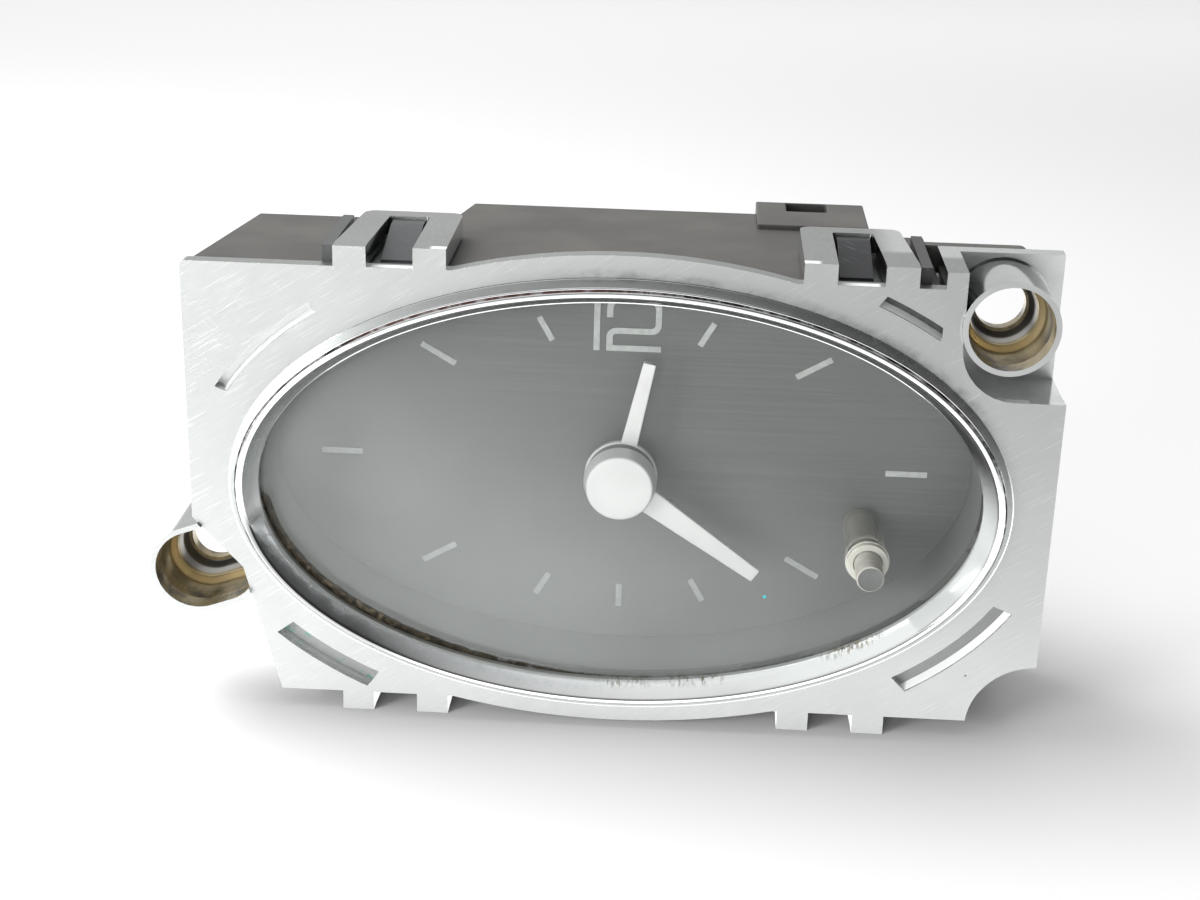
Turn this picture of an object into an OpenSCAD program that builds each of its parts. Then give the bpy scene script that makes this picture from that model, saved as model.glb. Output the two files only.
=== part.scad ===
// Car dashboard clock with an oval window, a quartz movement and a plated bezel.
// X runs to the right, Y runs back into the dashboard and Z runs up.
// The hands turn about the Y axis, and Y = 0 is the front face of the bezel plate.

/* [Bezel plate] */
// Width of the plate beside the window
plate_side = 8.7; // [8.2:0.1:11]
// Height of the plate above the window
plate_above = 3.8; // [3.6:0.1:5]
// Height of the plate below the window
plate_below = 3.3; // [3.1:0.1:4.8]
// Thickness of the plate
plate_t = 2; // [1.6:0.1:2.6]
// Half the length of the swelling in the middle of the long edges
swell_half = 21.2; // [15:0.1:21.5]
// Rise of the top swelling
swell_top = 2.7; // [1:0.1:3.5]
// Rise of the bottom swelling
swell_low = 2.4; // [1:0.1:2.5]
// Distance of the arc grooves' outer edge from the window's edge
groove_out = 9.1; // [8.6:0.1:9.2]
// Width of the upper arc grooves
groove_w = 1.6; // [0.8:0.1:2]
// Width of the lower arc grooves
groove_w_low = 2.7; // [1:0.1:2.9]
// Depth of the arc grooves
groove_deep = 1.4; // [0.4:0.1:1.4]

/* [Screw bosses] */
// Outer radius of a screw boss
boss_r = 6; // [5.6:0.1:6.2]
// Wall of a screw boss
boss_wall = 0.7; // [0.6:0.1:1.2]
// Radius of the screw holes
screw_r = 3.25; // [2.2:0.05:3.6]
// Height of the boss rims above the plate
boss_proud = 0.5; // [0.2:0.1:1.2]
// Depth of the screw flanges behind the plate's front
flange_y = 10.3; // [8:0.1:11.5]
// Thickness of the screw flanges
flange_t = 2.3; // [1.8:0.1:2.8]
// Distance of the upper boss from the plate's right edge
upper_in = 7.6; // [7.3:0.1:7.9]
// Height of the upper boss above the hand axis
upper_z = 24.9; // [24:0.1:25.2]
// Distance of the lower boss from the plate's left edge
lower_in = 0.2; // [0:0.1:0.8]
// Distance of the lower boss below the hand axis
lower_z = 12.1; // [11.6:0.1:12.6]
// Stretch of the lower boss towards the upper one
lower_stretch = 3; // [1:0.1:4]
// Width of the upper pocket
pocket_w = 13.3; // [13:0.1:13.6]
// Height of the upper pocket's floor above the hand axis
pocket_z = 15.35; // [14.5:0.05:16]
// Radius of the upper pocket's inner corner
pocket_round = 7; // [6.8:0.1:8]
// Wall of the upper pocket
pocket_wall = 2.6; // [1.8:0.1:2.8]
// Height of the pocket wall and its flange above the plate's top edge
pocket_proud = 2.15; // [1.7:0.05:2.7]
// Wall of the lower pocket
skirt_wall = 2; // [1.4:0.1:2.1]
// Radius of the bite out of the lower right corner
bite_r = 8.75; // [6:0.05:10]

/* [Snap loops] */
// Distance of a loop's inner bar from the middle
loop_x = 21.85; // [21.6:0.05:22.6]
// Width of a loop at the plate
loop_w = 14; // [13.4:0.1:14.2]
// Width of a loop's bars
loop_bar = 4.1; // [3.4:0.1:4.2]
// Length of a loop
loop_len = 18.3; // [16:0.1:20]
// Width of a loop's cross bar
loop_cross = 2.6; // [2:0.1:3.2]
// Thickness of a loop
loop_t = 2.6; // [2:0.1:3]
// Amount by which a loop narrows towards its cross bar, on its outer side
loop_taper = 1.2; // [0:0.1:1.6]

/* [Ring and window] */
// Half the width of the window
window_a = 46.3; // [45.6:0.1:46.4]
// Half the height of the window
window_b = 25.7; // [25:0.1:25.8]
// Height of the ring's crest above the plate
ring_crest = 2; // [1.4:0.1:3]
// Width of the ring's sloping inner wall
ring_slope = 1.7; // [1:0.1:1.9]
// Width of the ring from its inner edge to its outer edge
ring_w = 3.7; // [3.4:0.1:4]
// Height of the step round the foot of the ring
ring_step = 0.4; // [0.2:0.1:0.7]
// Depth of the lens behind the plate's front
lens_y = 1.4; // [1:0.1:1.8]
// Thickness of the lens
lens_t = 1.8; // [1.2:0.1:2.4]

/* [Dial] */
// Depth of the dial behind the plate's front
dial_y = 13.8; // [13:0.1:14.6]
// Thickness of the dial
dial_t = 1; // [0.6:0.1:1.4]
// Wall of the oval surround between lens and dial
surround_wall = 1.2; // [0.8:0.1:1.3]
// Width of the hour marks
mark_w = 0.95; // [0.5:0.05:1.4]
// Thickness of the hour marks
mark_t = 0.12; // [0.05:0.01:0.3]
// Height of the numeral's foot above the hand axis
numeral_z = 15.6; // [15:0.1:16]
// Height of the numeral
numeral_h = 7.4; // [6:0.1:8]

/* [Hands] */
// Angle of the minute hand, clockwise from the top
minute_angle = 126; // [0:1:359]
// Angle of the hour hand, clockwise from the top
hour_angle = 10.5; // [0:0.5:359]
// Length of the minute hand
minute_len = 22.2; // [16:0.1:24]
// Length of the hour hand
hour_len = 16; // [12:0.1:18]
// Width of a hand at its root
hand_root = 2.4; // [1.6:0.1:3]
// Width of a hand at its tip
hand_tip = 1.8; // [1:0.1:2.4]
// Thickness of a hand
hand_t = 0.8; // [0.5:0.1:1]
// Radius of the cap over the hands
cap_r = 4.4; // [3.4:0.1:5]
// Thickness of the cap
cap_t = 1.8; // [1.4:0.1:2]
// Clear space between lens and cap
cap_gap = 1.6; // [1:0.1:2]
// Radius of the hour hand's hub
hour_hub_r = 4.8; // [3.8:0.1:5.4]
// Clear space between the two hands
hand_gap = 1.1; // [0.6:0.1:1.4]

/* [Set button] */
// Distance of the button from the window's right end
button_in = 14; // [13.7:0.1:14.8]
// Distance of the button below the hand axis
button_z = 7.5; // [6:0.1:9]
// Radius of the button
button_r = 1.75; // [1.4:0.05:2]
// Height of the button in front of the plate
button_proud = 4.2; // [2:0.1:6]
// Travel of the button
button_travel = 0.8; // [0.4:0.1:1]
// Wall of the lens's collar round the button
collar_wall = 0.85; // [0.5:0.05:1.2]
// Height of the collar in front of the lens
collar_h = 0.8; // [0.4:0.1:1.2]
// Wall of the guide tube behind the lens
guide_wall = 0.65; // [0.5:0.05:0.9]

/* [Housing] */
// Wall of the rear housing
housing_wall = 1.6; // [1.4:0.05:1.7]
// Distance of the housing's roof below the plate's top edge
roof_in = 0.5; // [0.3:0.05:0.6]
// Distance of the housing's floor above the plate's bottom edge
floor_in = 0.4; // [0.2:0.05:0.45]
// Distance of the shallow sides' rear behind the circuit board
side_behind = 2.9; // [2.5:0.1:4.4]
// Distance of the deep middle's rear behind the movement
middle_behind = 2.6; // [2.4:0.1:4.6]
// Left edge of the deep middle
middle_left = 22.5; // [21.8:0.1:23.5]
// Right edge of the deep middle
middle_right = 32; // [31.8:0.1:32.6]
// Slant of the housing's sides, from the plate to the back
side_slant = 3.8; // [1:0.1:4.5]
// Clear space between the housing and the bezel's pocket walls
housing_gap = 0.3; // [0.2:0.05:0.5]

/* [Connector] */
// Distance of the connector's mouth behind the deep middle's rear
socket_proud = 4.5; // [3.5:0.1:7.5]
// Left edge of the connector's socket
socket_x = 18.2; // [17.8:0.1:18.4]
// Width of the connector's socket
socket_w = 12; // [11:0.1:12.2]
// Height of the connector's socket
socket_h = 10.2; // [9.8:0.1:10.4]
// Distance of the socket's roof below the housing's roof
socket_in = 0.8; // [0.6:0.1:1]
// Wall of the connector's shroud
shroud_wall = 1.5; // [1.2:0.1:1.6]
// Thickness of a contact pin
pin_t = 0.8; // [0.5:0.05:1]
// Number of contact pins
pin_count = 4; // [2:1:5]

/* [Movement] */
// Module of the gear teeth
gear_module = 0.25; // [0.24:0.005:0.255]
// Thickness of the wheels
wheel_t = 0.8; // [0.6:0.1:0.9]
// Clear space between one layer of wheels and the next
layer_gap = 0.8; // [0.6:0.05:0.9]
// Radius of the minute arbor
arbor_r = 0.9; // [0.7:0.05:1]
// Wall of the hour wheel's pipe
pipe_wall = 0.75; // [0.5:0.05:1]
// Running clearance of a shaft in its hole
run_gap = 0.05; // [0.03:0.01:0.08]
// Thickness of the movement's plates
movement_plate_t = 1.2; // [0.9:0.1:1.3]
// Radius of the rotor's magnet
magnet_r = 2.4; // [2:0.1:2.8]
// Air gap between magnet and stator
air_gap = 0.4; // [0.3:0.05:0.6]
// Outer radius of the coil's winding
coil_r = 2.9; // [2.2:0.1:3.1]
// Length of the coil
coil_len = 17; // [12:0.5:18]

/* [Electronics] */
// Thickness of the circuit board
board_t = 1.6; // [1:0.1:1.7]
// Depth of the light box behind the dial
light_box_depth = 7.2; // [6.8:0.1:7.4]
// Distance of each lamp from the window's end
lamp_in = 4.8; // [4.5:0.1:5.8]
// Height of the lamps above the hand axis
lamp_z = 3; // [2.5:0.1:4]
// Radius of a lamp holder
lamp_socket_r = 5; // [4.4:0.1:5.2]

/* [Hidden] */
$fn = 64;
oval_steps = 96;
arc_steps = 8;
through = 40;
skin = 0.05;

// Edges and places that follow the window
plate_w = 2 * (window_a + plate_side);
plate_top = window_b + plate_above;
plate_bottom = window_b + plate_below;
housing_top = plate_top - roof_in;
housing_low = plate_bottom - floor_in;
pocket_x = plate_w / 2 - pocket_w;
pocket_top = plate_top + pocket_proud;
socket_top = housing_top - socket_in;
upper_x = plate_w / 2 - upper_in;
lower_x = plate_w / 2 - lower_in;
button_x = window_a - button_in;
lamp_x = window_a - lamp_in;

// Levels from front to back
lens_back = lens_y + lens_t;
dial_back = dial_y + dial_t;
cap_y = lens_back + cap_gap;
minute_y = cap_y + cap_t;
hour_y = minute_y + hand_t + hand_gap;
board_y = dial_back + light_box_depth;
board_back = board_y + board_t;
board_gap = 1;
front_plate_y = board_back + board_gap;
front_plate_back = front_plate_y + movement_plate_t;
hour_wheel_y = front_plate_back + 0.5;
motion_wheel_y = hour_wheel_y + wheel_t + layer_gap;
centre_wheel_y = motion_wheel_y + wheel_t + layer_gap;
third_wheel_y = centre_wheel_y + wheel_t + layer_gap;
back_plate_y = third_wheel_y + wheel_t + layer_gap;
back_plate_back = back_plate_y + movement_plate_t;
side_depth = board_back + side_behind;
middle_depth = back_plate_back + middle_behind;
socket_depth = middle_depth + socket_proud;

// Tooth counts, with one centre distance for both pairs of the motion work
cannon_teeth = 15;
motion_teeth = 45;
motion_pinion_teeth = 12;
hour_teeth = 48;
centre_teeth = 80;
pinion_teeth = 10;
third_teeth = 75;
addendum = 0.75;
dedendum = 1.05;
pressure_angle = 20;
tooth_backlash = 0.1;

// Places of the movement's axes, seen from the front
motion_dir = 50;
third_dir = 215;
rotor_dir = 285;
function polar(r, a) = r * [cos(a), sin(a)];
function mesh_distance(z1, z2) = gear_module * (z1 + z2) / 2;
centre_at = [0, 0];
motion_at = polar(mesh_distance(cannon_teeth, motion_teeth), motion_dir);
third_at = polar(mesh_distance(centre_teeth, pinion_teeth), third_dir);
rotor_at = third_at + polar(mesh_distance(third_teeth, pinion_teeth), rotor_dir);
coil_x = 18.2;
coil_z = -12.6;
coil_y = (front_plate_back + back_plate_y) / 2;
pillar_r = 1.6;
pillars = [[-16.5, 9.5], [14, 9.5], [-16.5, -23], [9, -16.2]];
movement_screw_r = 0.8;

// Places of other pieces
upper_at = [upper_x, upper_z];
lower_at = [-lower_x, -lower_z];
button_at = [button_x, -button_z];
lamps_at = [[-lamp_x, lamp_z], [lamp_x, lamp_z]];
board_left = 13.3 - window_a;
board_right = window_a - 9.1;
board_low = 1.7 - window_b;
board_top = window_b + 0.3;
screw_left = board_left + 4;
screw_right = board_right - 2.3;
housing_screws_at = [[screw_left, -18], [screw_left, 18], [screw_right, -17.5]];
housing_screw_r = 1.1;
post_r = 2.4;
pin_z = socket_top - socket_h / 2 - 0.2;
ring_barrel = 0.8;
ring_fit = 0.03;
window_margin = ring_w - ring_barrel;

// The cut corner at the lower left: two edges that meet at cut_mid
cut_top = [-plate_w / 2, -4.8];
cut_mid = [6.4 - plate_w / 2, -11.6];
cut_low = [11 - plate_w / 2, -plate_bottom];
function unit(v) = v / norm(v);
function left_normal(p, q) = let (d = unit(q - p)) [-d[1], d[0]];
function joint_shift(n, m) = (n + m) / (1 + n * m);
cut_shift = joint_shift(left_normal(cut_top, cut_mid), left_normal(cut_mid, cut_low));

// An outline whose corners are [x, y, radius]
function bend(a) = a > 180 ? a - 360 : a < -180 ? a + 360 : a;
function flat(p) = [p[0], p[1]];
function corner_arc(p, q, s) =
  q[2] == 0 ? [flat(q)] :
  let (
    u = unit(flat(p) - flat(q)),
    v = unit(flat(s) - flat(q)),
    half = acos(u * v) / 2,
    centre = flat(q) + unit(u + v) * q[2] / sin(half),
    from = flat(q) + u * q[2] / tan(half) - centre,
    to = flat(q) + v * q[2] / tan(half) - centre,
    start = atan2(from[1], from[0]),
    turn = bend(atan2(to[1], to[0]) - start)
  )
  [for (i = [0:arc_steps]) centre + polar(q[2], start + turn * i / arc_steps)];
function rounded(c) =
  let (n = len(c))
  [for (i = [0:n - 1]) each corner_arc(c[(i + n - 1) % n], c[i], c[(i + 1) % n])];
function box_outline(x0, x1, z0, z1, r) = rounded([[x0, z0, r], [x1, z0, r], [x1, z1, r], [x0, z1, r]]);
function oval_point(out, t) = [(window_a + out) * cos(t), (window_b + out) * sin(t)];
function oval_outline(out) = [for (i = [0:oval_steps - 1]) oval_point(out, 360 * i / oval_steps)];

// A front-view outline carried from depth y0 to depth y1
module slab(y0, y1) translate([0, y1, 0]) rotate([90, 0, 0]) linear_extrude(y1 - y0) children();
// A round bar along Y
module rod(at, r, y0, y1) translate([at[0], y1, at[1]]) rotate([90, 0, 0]) cylinder(r = r, h = y1 - y0);
// A profile of [radius, depth] turned about an axis along Y
module lathe(at) translate([at[0], 0, at[1]]) rotate([-90, 0, 0]) rotate_extrude() children();
// A side-view outline of [depth, height] carried from x0 to x1
module side_slab(x0, x1) translate([x0, 0, 0]) rotate([90, 0, 90]) linear_extrude(x1 - x0) children();
// A block between two corners
module block(low, high) translate(low) cube(high - low);
// A plate of the window's shape, larger by out
module oval(out, y0, y1) slab(y0, y1) polygon(oval_outline(out));
// Children on the right and their mirror image on the left
module both_sides() { children(); mirror([1, 0, 0]) children(); }

// Bezel frame
module swelling(edge, rise) {
  r = (pow(swell_half, 2) + pow(rise, 2)) / (2 * rise);
  intersection() {
    translate([0, edge + rise - r]) circle(r, $fn = 256);
    translate([-swell_half, edge - 1]) square([2 * swell_half, rise + 2]);
  }
}
module pocket_region(grow) {
  x = pocket_x - grow;
  z = pocket_z - grow;
  r = pocket_round + grow;
  polygon(rounded([[x, z, r], [x + through, z, 0], [x + through, z + through, 0], [x, z + through, 0]]));
}
module pocket_limit() translate([0, -plate_bottom]) square([plate_w / 2 - 0.1, pocket_top + plate_bottom]);
module cut_region(grow) {
  translate(cut_shift * grow) polygon([
    cut_top + [-through, through], cut_top + through * unit(cut_top - cut_mid), cut_mid,
    cut_low + 0.3 * through * unit(cut_low - cut_mid), cut_low + [-through, -0.3 * through]
  ]);
}
module bite(grow) translate([plate_w / 2 + 0.2, -plate_bottom - 0.6]) circle(bite_r + grow);
module loop_roots(edge) {
  for (x = [loop_x, loop_x + loop_w - loop_bar]) translate([x, edge - 1]) square([loop_bar, loop_t + 1]);
}
module plate_outline() {
  difference() {
    union() {
      polygon(box_outline(-plate_w / 2, plate_w / 2, -plate_bottom, plate_top, 0.8));
      swelling(plate_top, swell_top);
      mirror([0, 1]) swelling(plate_bottom, swell_low);
      for (s = [0, 1]) mirror([s, 0]) {
        loop_roots(plate_top);
        mirror([0, 1]) loop_roots(plate_bottom);
      }
      translate([pocket_x - pocket_wall, 0]) square([pocket_wall, pocket_top]);
    }
    pocket_region(0);
    cut_region(0);
    bite(0);
  }
}
module slot_outline(r) {
  reach = upper_at - lower_at;
  intersection() {
    translate(lower_at) rotate(atan2(reach[1], reach[0])) {
      circle(r);
      translate([0, -r]) square([lower_stretch, 2 * r]);
      translate([lower_stretch, 0]) circle(r);
    }
    cut_region(skirt_wall);
  }
}
module snap_loop(z0) {
  x1 = loop_x + loop_w;
  bar_end = loop_len - loop_cross;
  round_out = 1.6;
  round_in = 0.5;
  translate([0, 0, z0]) linear_extrude(loop_t) difference() {
    polygon(rounded([
      [loop_x, 0, 0], [x1, 0, 0], [x1, plate_t, 0],
      [x1 - loop_taper, loop_len, round_out], [loop_x, loop_len, round_out]
    ]));
    polygon(rounded([
      [loop_x + loop_bar, -1, 0], [x1 - loop_bar, -1, 0], [x1 - loop_bar, plate_t, 0],
      [x1 - loop_bar - loop_taper / 2, bar_end, round_in], [loop_x + loop_bar, bar_end, round_in]
    ]));
  }
}
module groove(from, to, w) {
  steps = 14;
  angles = [for (i = [0:steps]) from + (to - from) * i / steps];
  outer = [for (t = angles) oval_point(groove_out, t)];
  inner = [for (i = [steps:-1:0]) oval_point(groove_out - w, angles[i])];
  slab(-1, groove_deep) polygon(concat(outer, inner));
}
module screw_hole(at) {
  chamfer = 0.6;
  lathe(at) polygon([
    [0, flange_y - skin], [screw_r + chamfer + skin, flange_y - skin],
    [screw_r, flange_y + chamfer], [screw_r, flange_y + flange_t + 1], [0, flange_y + flange_t + 1]
  ]);
}
module bezel_frame() {
  flange_back = flange_y + flange_t;
  color([0.78, 0.78, 0.77]) difference() {
    union() {
      difference() {
        slab(0, plate_t) plate_outline();
        oval(window_margin + ring_fit, -1, plate_t + 1);
        groove(134, 157.7, groove_w);
        groove(43.7, 54.6, groove_w);
        groove(216.7, 234, groove_w_low);
        groove(313.7, 337.4, groove_w_low);
      }
      both_sides() {
        snap_loop(plate_top);
        snap_loop(-plate_bottom - loop_t);
      }
      rod(oval_point(groove_out - groove_w / 2, 134), groove_w / 2 + 0.2, 0.2, plate_t);
      slab(0, flange_back) difference() {
        intersection() { pocket_region(pocket_wall); pocket_limit(); }
        pocket_region(0);
      }
      slab(flange_y, flange_back) intersection() { pocket_region(pocket_wall); pocket_limit(); }
      difference() {
        rod(upper_at, boss_r, -boss_proud, flange_y + skin);
        rod(upper_at, boss_r - boss_wall, -boss_proud - 1, flange_y + 1);
      }
      slab(-boss_proud, plate_t) difference() {
        slot_outline(boss_r);
        slot_outline(boss_r - boss_wall);
        plate_outline();
      }
      slab(plate_t - skin, flange_y + skin) difference() {
        slot_outline(boss_r);
        slot_outline(boss_r - boss_wall);
      }
      slab(flange_y, flange_back) slot_outline(boss_r);
      slab(0, flange_back) intersection() {
        difference() { cut_region(skirt_wall); cut_region(0); }
        translate([-plate_w / 2, -lower_z - boss_r - 1]) square([boss_r + 8, boss_r + 8]);
      }
    }
    screw_hole(upper_at);
    screw_hole(lower_at);
  }
}

// Oval ring: a closed profile of [distance from the window's edge, depth], swept round the window
module bezel_ring() {
  round_r = ring_slope * 0.55;
  crest_mid = [ring_slope + round_r * 0.4, round_r - ring_crest];
  crest = [for (a = [200:28:340]) crest_mid + polar(round_r, a)];
  foot = ring_w - 0.5;
  profile = concat(
    [[0, lens_y], [0, lens_y - 0.3]], crest,
    [[foot, -ring_step], [ring_w, -ring_step], [ring_w, 0], [window_margin, 0], [window_margin, lens_y]]
  );
  m = len(profile);
  points = [
    for (i = [0:oval_steps - 1]) for (p = profile)
      let (q = oval_point(p[0], 360 * i / oval_steps)) [q[0], p[1], q[1]]
  ];
  faces = [
    for (i = [0:oval_steps - 1]) for (j = [0:m - 1])
      let (a = i * m + j, b = i * m + (j + 1) % m, k = ((i + 1) % oval_steps) * m)
      each [[a, b, k + (j + 1) % m], [a, k + (j + 1) % m, k + j]]
  ];
  color([0.86, 0.86, 0.87]) polyhedron(points, faces);
}

// Window, surround and dial
module lens() {
  hole_r = button_r + 2 * run_gap;
  guide_end = dial_y - 0.3;
  color([0.9, 0.92, 0.92, 0.35]) difference() {
    union() {
      oval(surround_wall, lens_y, lens_back);
      rod(button_at, hole_r + collar_wall, lens_y - collar_h, lens_back);
      rod(button_at, hole_r + guide_wall, lens_y, guide_end);
    }
    rod(button_at, hole_r, lens_y - collar_h - 1, guide_end + 1);
  }
}
module dial_surround() {
  color([0.36, 0.37, 0.37]) difference() {
    oval(surround_wall, lens_back, dial_y);
    oval(0, lens_back - 1, dial_y + 1);
  }
}
module dial() {
  color([0.40, 0.41, 0.41]) difference() {
    oval(surround_wall, dial_y, dial_back);
    rod(centre_at, pipe_r + 0.5, dial_y - 1, dial_back + 1);
    rod(button_at, button_r + 0.3, dial_y - 1, dial_back + 1);
  }
}
pipe_r = arbor_r + run_gap + pipe_wall;
// Inner and outer ends of the marks at 1 to 6 o'clock, measured from the hand axis
mark_ends = [[19.3, 22.9], [25.9, 31.1], [35, 40.5], [25.9, 31.1], [19.3, 22.9], [17.9, 21.2]];
module mark(hour) {
  ends = mark_ends[min(hour, 12 - hour) - 1];
  rotate(-30 * hour) translate([-mark_w / 2, ends[0]]) square([mark_w, ends[1] - ends[0]]);
}
// The numeral 12: a bar, and a folded stroke whose centre line turns on round corners
module numeral() {
  bar_x = -3.8;
  left = -2.6;
  right = 4.6;
  waist = numeral_h * 0.46;
  r = 1.5;
  translate([bar_x - mark_w / 2, numeral_z]) square([mark_w, numeral_h]);
  translate([0, numeral_z]) polygon(rounded([
    [right, 0, 0], [right, mark_w, 0], [left + mark_w, mark_w, 0], [left + mark_w, waist - mark_w / 2, r - mark_w],
    [right, waist - mark_w / 2, r], [right, numeral_h, r], [left, numeral_h, r], [left, numeral_h - 2, 0],
    [left + mark_w, numeral_h - 2, 0], [left + mark_w, numeral_h - mark_w, r - mark_w],
    [right - mark_w, numeral_h - mark_w, r - mark_w], [right - mark_w, waist + mark_w / 2, r - mark_w],
    [left, waist + mark_w / 2, r], [left, 0, 0]
  ]));
}
module hour_marks() {
  color([0.76, 0.78, 0.76]) slab(dial_y - mark_t, dial_y) {
    for (hour = [1:11]) mark(hour);
    numeral();
  }
}

// Hands: a tapered bar from the hub to a flat tip, seen from the front
module hand_outline(angle, length, hub_r) {
  rotate(-angle) polygon([
    [-hand_root / 2, 0], [hand_root / 2, 0], [hand_tip / 2, length], [-hand_tip / 2, length]
  ]);
  circle(hub_r);
}
module hour_hand() {
  color([0.9, 0.91, 0.9]) difference() {
    slab(hour_y, hour_y + hand_t) hand_outline(hour_angle, hour_len, hour_hub_r);
    rod(centre_at, pipe_r, hour_y - 1, hour_y + hand_t + 1);
  }
}
module minute_hand() {
  color([0.92, 0.93, 0.92]) difference() {
    slab(minute_y, minute_y + hand_t) hand_outline(minute_angle, minute_len, cap_r - 0.8);
    rod(centre_at, arbor_r, minute_y - 1, minute_y + hand_t + 1);
  }
}
module hand_cap() {
  edge = 0.4;
  color([0.93, 0.93, 0.92]) difference() {
    lathe(centre_at) polygon([
      [0, cap_y], [cap_r - edge, cap_y], [cap_r, cap_y + edge], [cap_r, cap_y + cap_t], [0, cap_y + cap_t]
    ]);
    rod(centre_at, arbor_r, cap_y + cap_t / 2, minute_y + 1);
  }
}

// Set button and the switch that it presses
switch_side = 6;
switch_h = 3.5;
switch_y = board_y - switch_h;
plunger_r = 1.4;
plunger_proud = 1.6;
button_end = switch_y - plunger_proud;
module set_button() {
  dome = 0.5;
  front = -button_proud;
  color([0.62, 0.57, 0.48]) lathe(button_at) polygon([
    [0, front], [button_r - dome, front], [button_r, front + dome], [button_r, button_end], [0, button_end]
  ]);
}
module switch_plunger() color([0.15, 0.15, 0.15]) rod(button_at, plunger_r, button_end, switch_y + 0.8);
module switch_body() {
  color([0.2, 0.2, 0.21]) difference() {
    translate([button_at[0] - switch_side / 2, switch_y, button_at[1] - switch_side / 2])
      cube([switch_side, switch_h, switch_side]);
    rod(button_at, plunger_r + 0.1, switch_y - 1, switch_y + 0.8 + button_travel + 0.3);
  }
}

// Rear housing
side_edge = plate_w / 2 - 0.6;
back_edge = side_edge - side_slant;
step_slant = 2;
function housing_plan(inset, front) = [
  [-side_edge + inset, front], [side_edge - inset, front],
  [back_edge - inset, side_depth - inset], [middle_right + 0.8 - inset, side_depth - inset],
  [middle_right - inset, middle_depth - inset], [-middle_left + inset, middle_depth - inset],
  [-middle_left - step_slant + inset, side_depth - inset], [-back_edge + inset, side_depth - inset]
];
module housing_form(inset, front) {
  grow = inset + housing_gap;
  difference() {
    translate([0, 0, -housing_low + inset])
      linear_extrude(housing_top + housing_low - 2 * inset) polygon(housing_plan(inset, front));
    slab(front - 1, socket_depth) {
      pocket_region(pocket_wall + grow);
      cut_region(skirt_wall + grow);
      bite(grow + 1);
    }
  }
}
module catch(edge, roof) {
  gap = 0.5;
  x0 = loop_x + loop_bar + gap;
  x1 = loop_x + loop_w - loop_bar - loop_taper / 2 - gap;
  back = loop_len - loop_cross - 0.3;
  peak = edge + loop_t - 0.4;
  side_slab(x0, x1) polygon([
    [plate_t + 2.5, roof - 1], [plate_t + 2.5, roof + 0.3], [back - 2.4, peak], [back, peak], [back, roof - 1]
  ]);
}
module guide_rib(edge, roof) {
  x = loop_x + loop_w + 0.3;
  block([x, plate_t, roof - 1], [x + 1.4, loop_len - 1, edge + loop_t - 0.5]);
}
module snap_features(edge, roof) {
  both_sides() { catch(edge, roof); guide_rib(edge, roof); }
}
// Tab behind the upper flange
module ear() {
  gap = 0.15;
  x0 = pocket_x - pocket_wall - housing_wall;
  y0 = flange_y + flange_t + gap;
  slab(y0, y0 + housing_wall) polygon(rounded([
    [x0, housing_top - 1, 0], [x0 + pocket_w, housing_top - 1, 0], [x0 + pocket_w, pocket_top, 1.2], [x0, pocket_top, 0]
  ]));
}
socket_low = socket_top - socket_h;
shroud_front = side_depth + 1.5;
shroud_low = [socket_x - shroud_wall, shroud_front, socket_low - shroud_wall];
shroud_high = [socket_x + socket_w + shroud_wall, socket_depth, socket_top + shroud_wall];
module rear_housing() {
  color([0.13, 0.125, 0.12]) difference() {
    union() {
      difference() {
        housing_form(0, plate_t);
        housing_form(housing_wall, plate_t - 1);
      }
      intersection() {
        housing_form(0, plate_t);
        union() {
          for (p = housing_screws_at) rod(p, post_r, board_back, side_depth);
          for (p = pillars) rod(p, pillar_r, back_plate_back + 0.7 + skin, middle_depth);
        }
      }
      snap_features(plate_top, housing_top);
      mirror([0, 0, 1]) snap_features(plate_bottom, housing_low);
      ear();
    }
    block([socket_x, board_back - 1, socket_low], [socket_x + socket_w, socket_depth + 1, socket_top]);
    block(shroud_low, shroud_high + [through, through, through]);
    for (p = lamps_at) rod(p, lamp_socket_r + 0.1, side_depth - housing_wall - 2, side_depth + 2);
    for (p = housing_screws_at) rod(p, housing_screw_r, board_back - 1, side_depth + 1);
  }
}
// Shroud of the plug socket, with a window for the plug's latch
module connector_shroud() {
  latch_w = 5.6;
  latch_len = 4.6;
  latch_back = socket_depth - 0.4;
  latch_mid = socket_x + socket_w / 2 - 0.5;
  color([0.12, 0.115, 0.11]) difference() {
    block(shroud_low, shroud_high);
    block([socket_x, shroud_front - 1, socket_low], [socket_x + socket_w, socket_depth + 1, socket_top]);
    block([latch_mid - latch_w / 2, latch_back - latch_len, socket_top - 1],
          [latch_mid + latch_w / 2, latch_back, socket_top + shroud_wall + 1]);
  }
}
module housing_screws() {
  head_h = 1.2;
  tip = board_y - 3;
  color([0.6, 0.6, 0.58]) for (p = housing_screws_at) {
    rod(p, housing_screw_r, tip, side_depth);
    difference() {
      rod(p, 2, side_depth, side_depth + head_h);
      for (turn = [0, 90]) translate([p[0], side_depth + head_h, p[1]]) rotate([0, turn, 0])
        cube([2.4, 1.2, 0.5], center = true);
    }
  }
}

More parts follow.
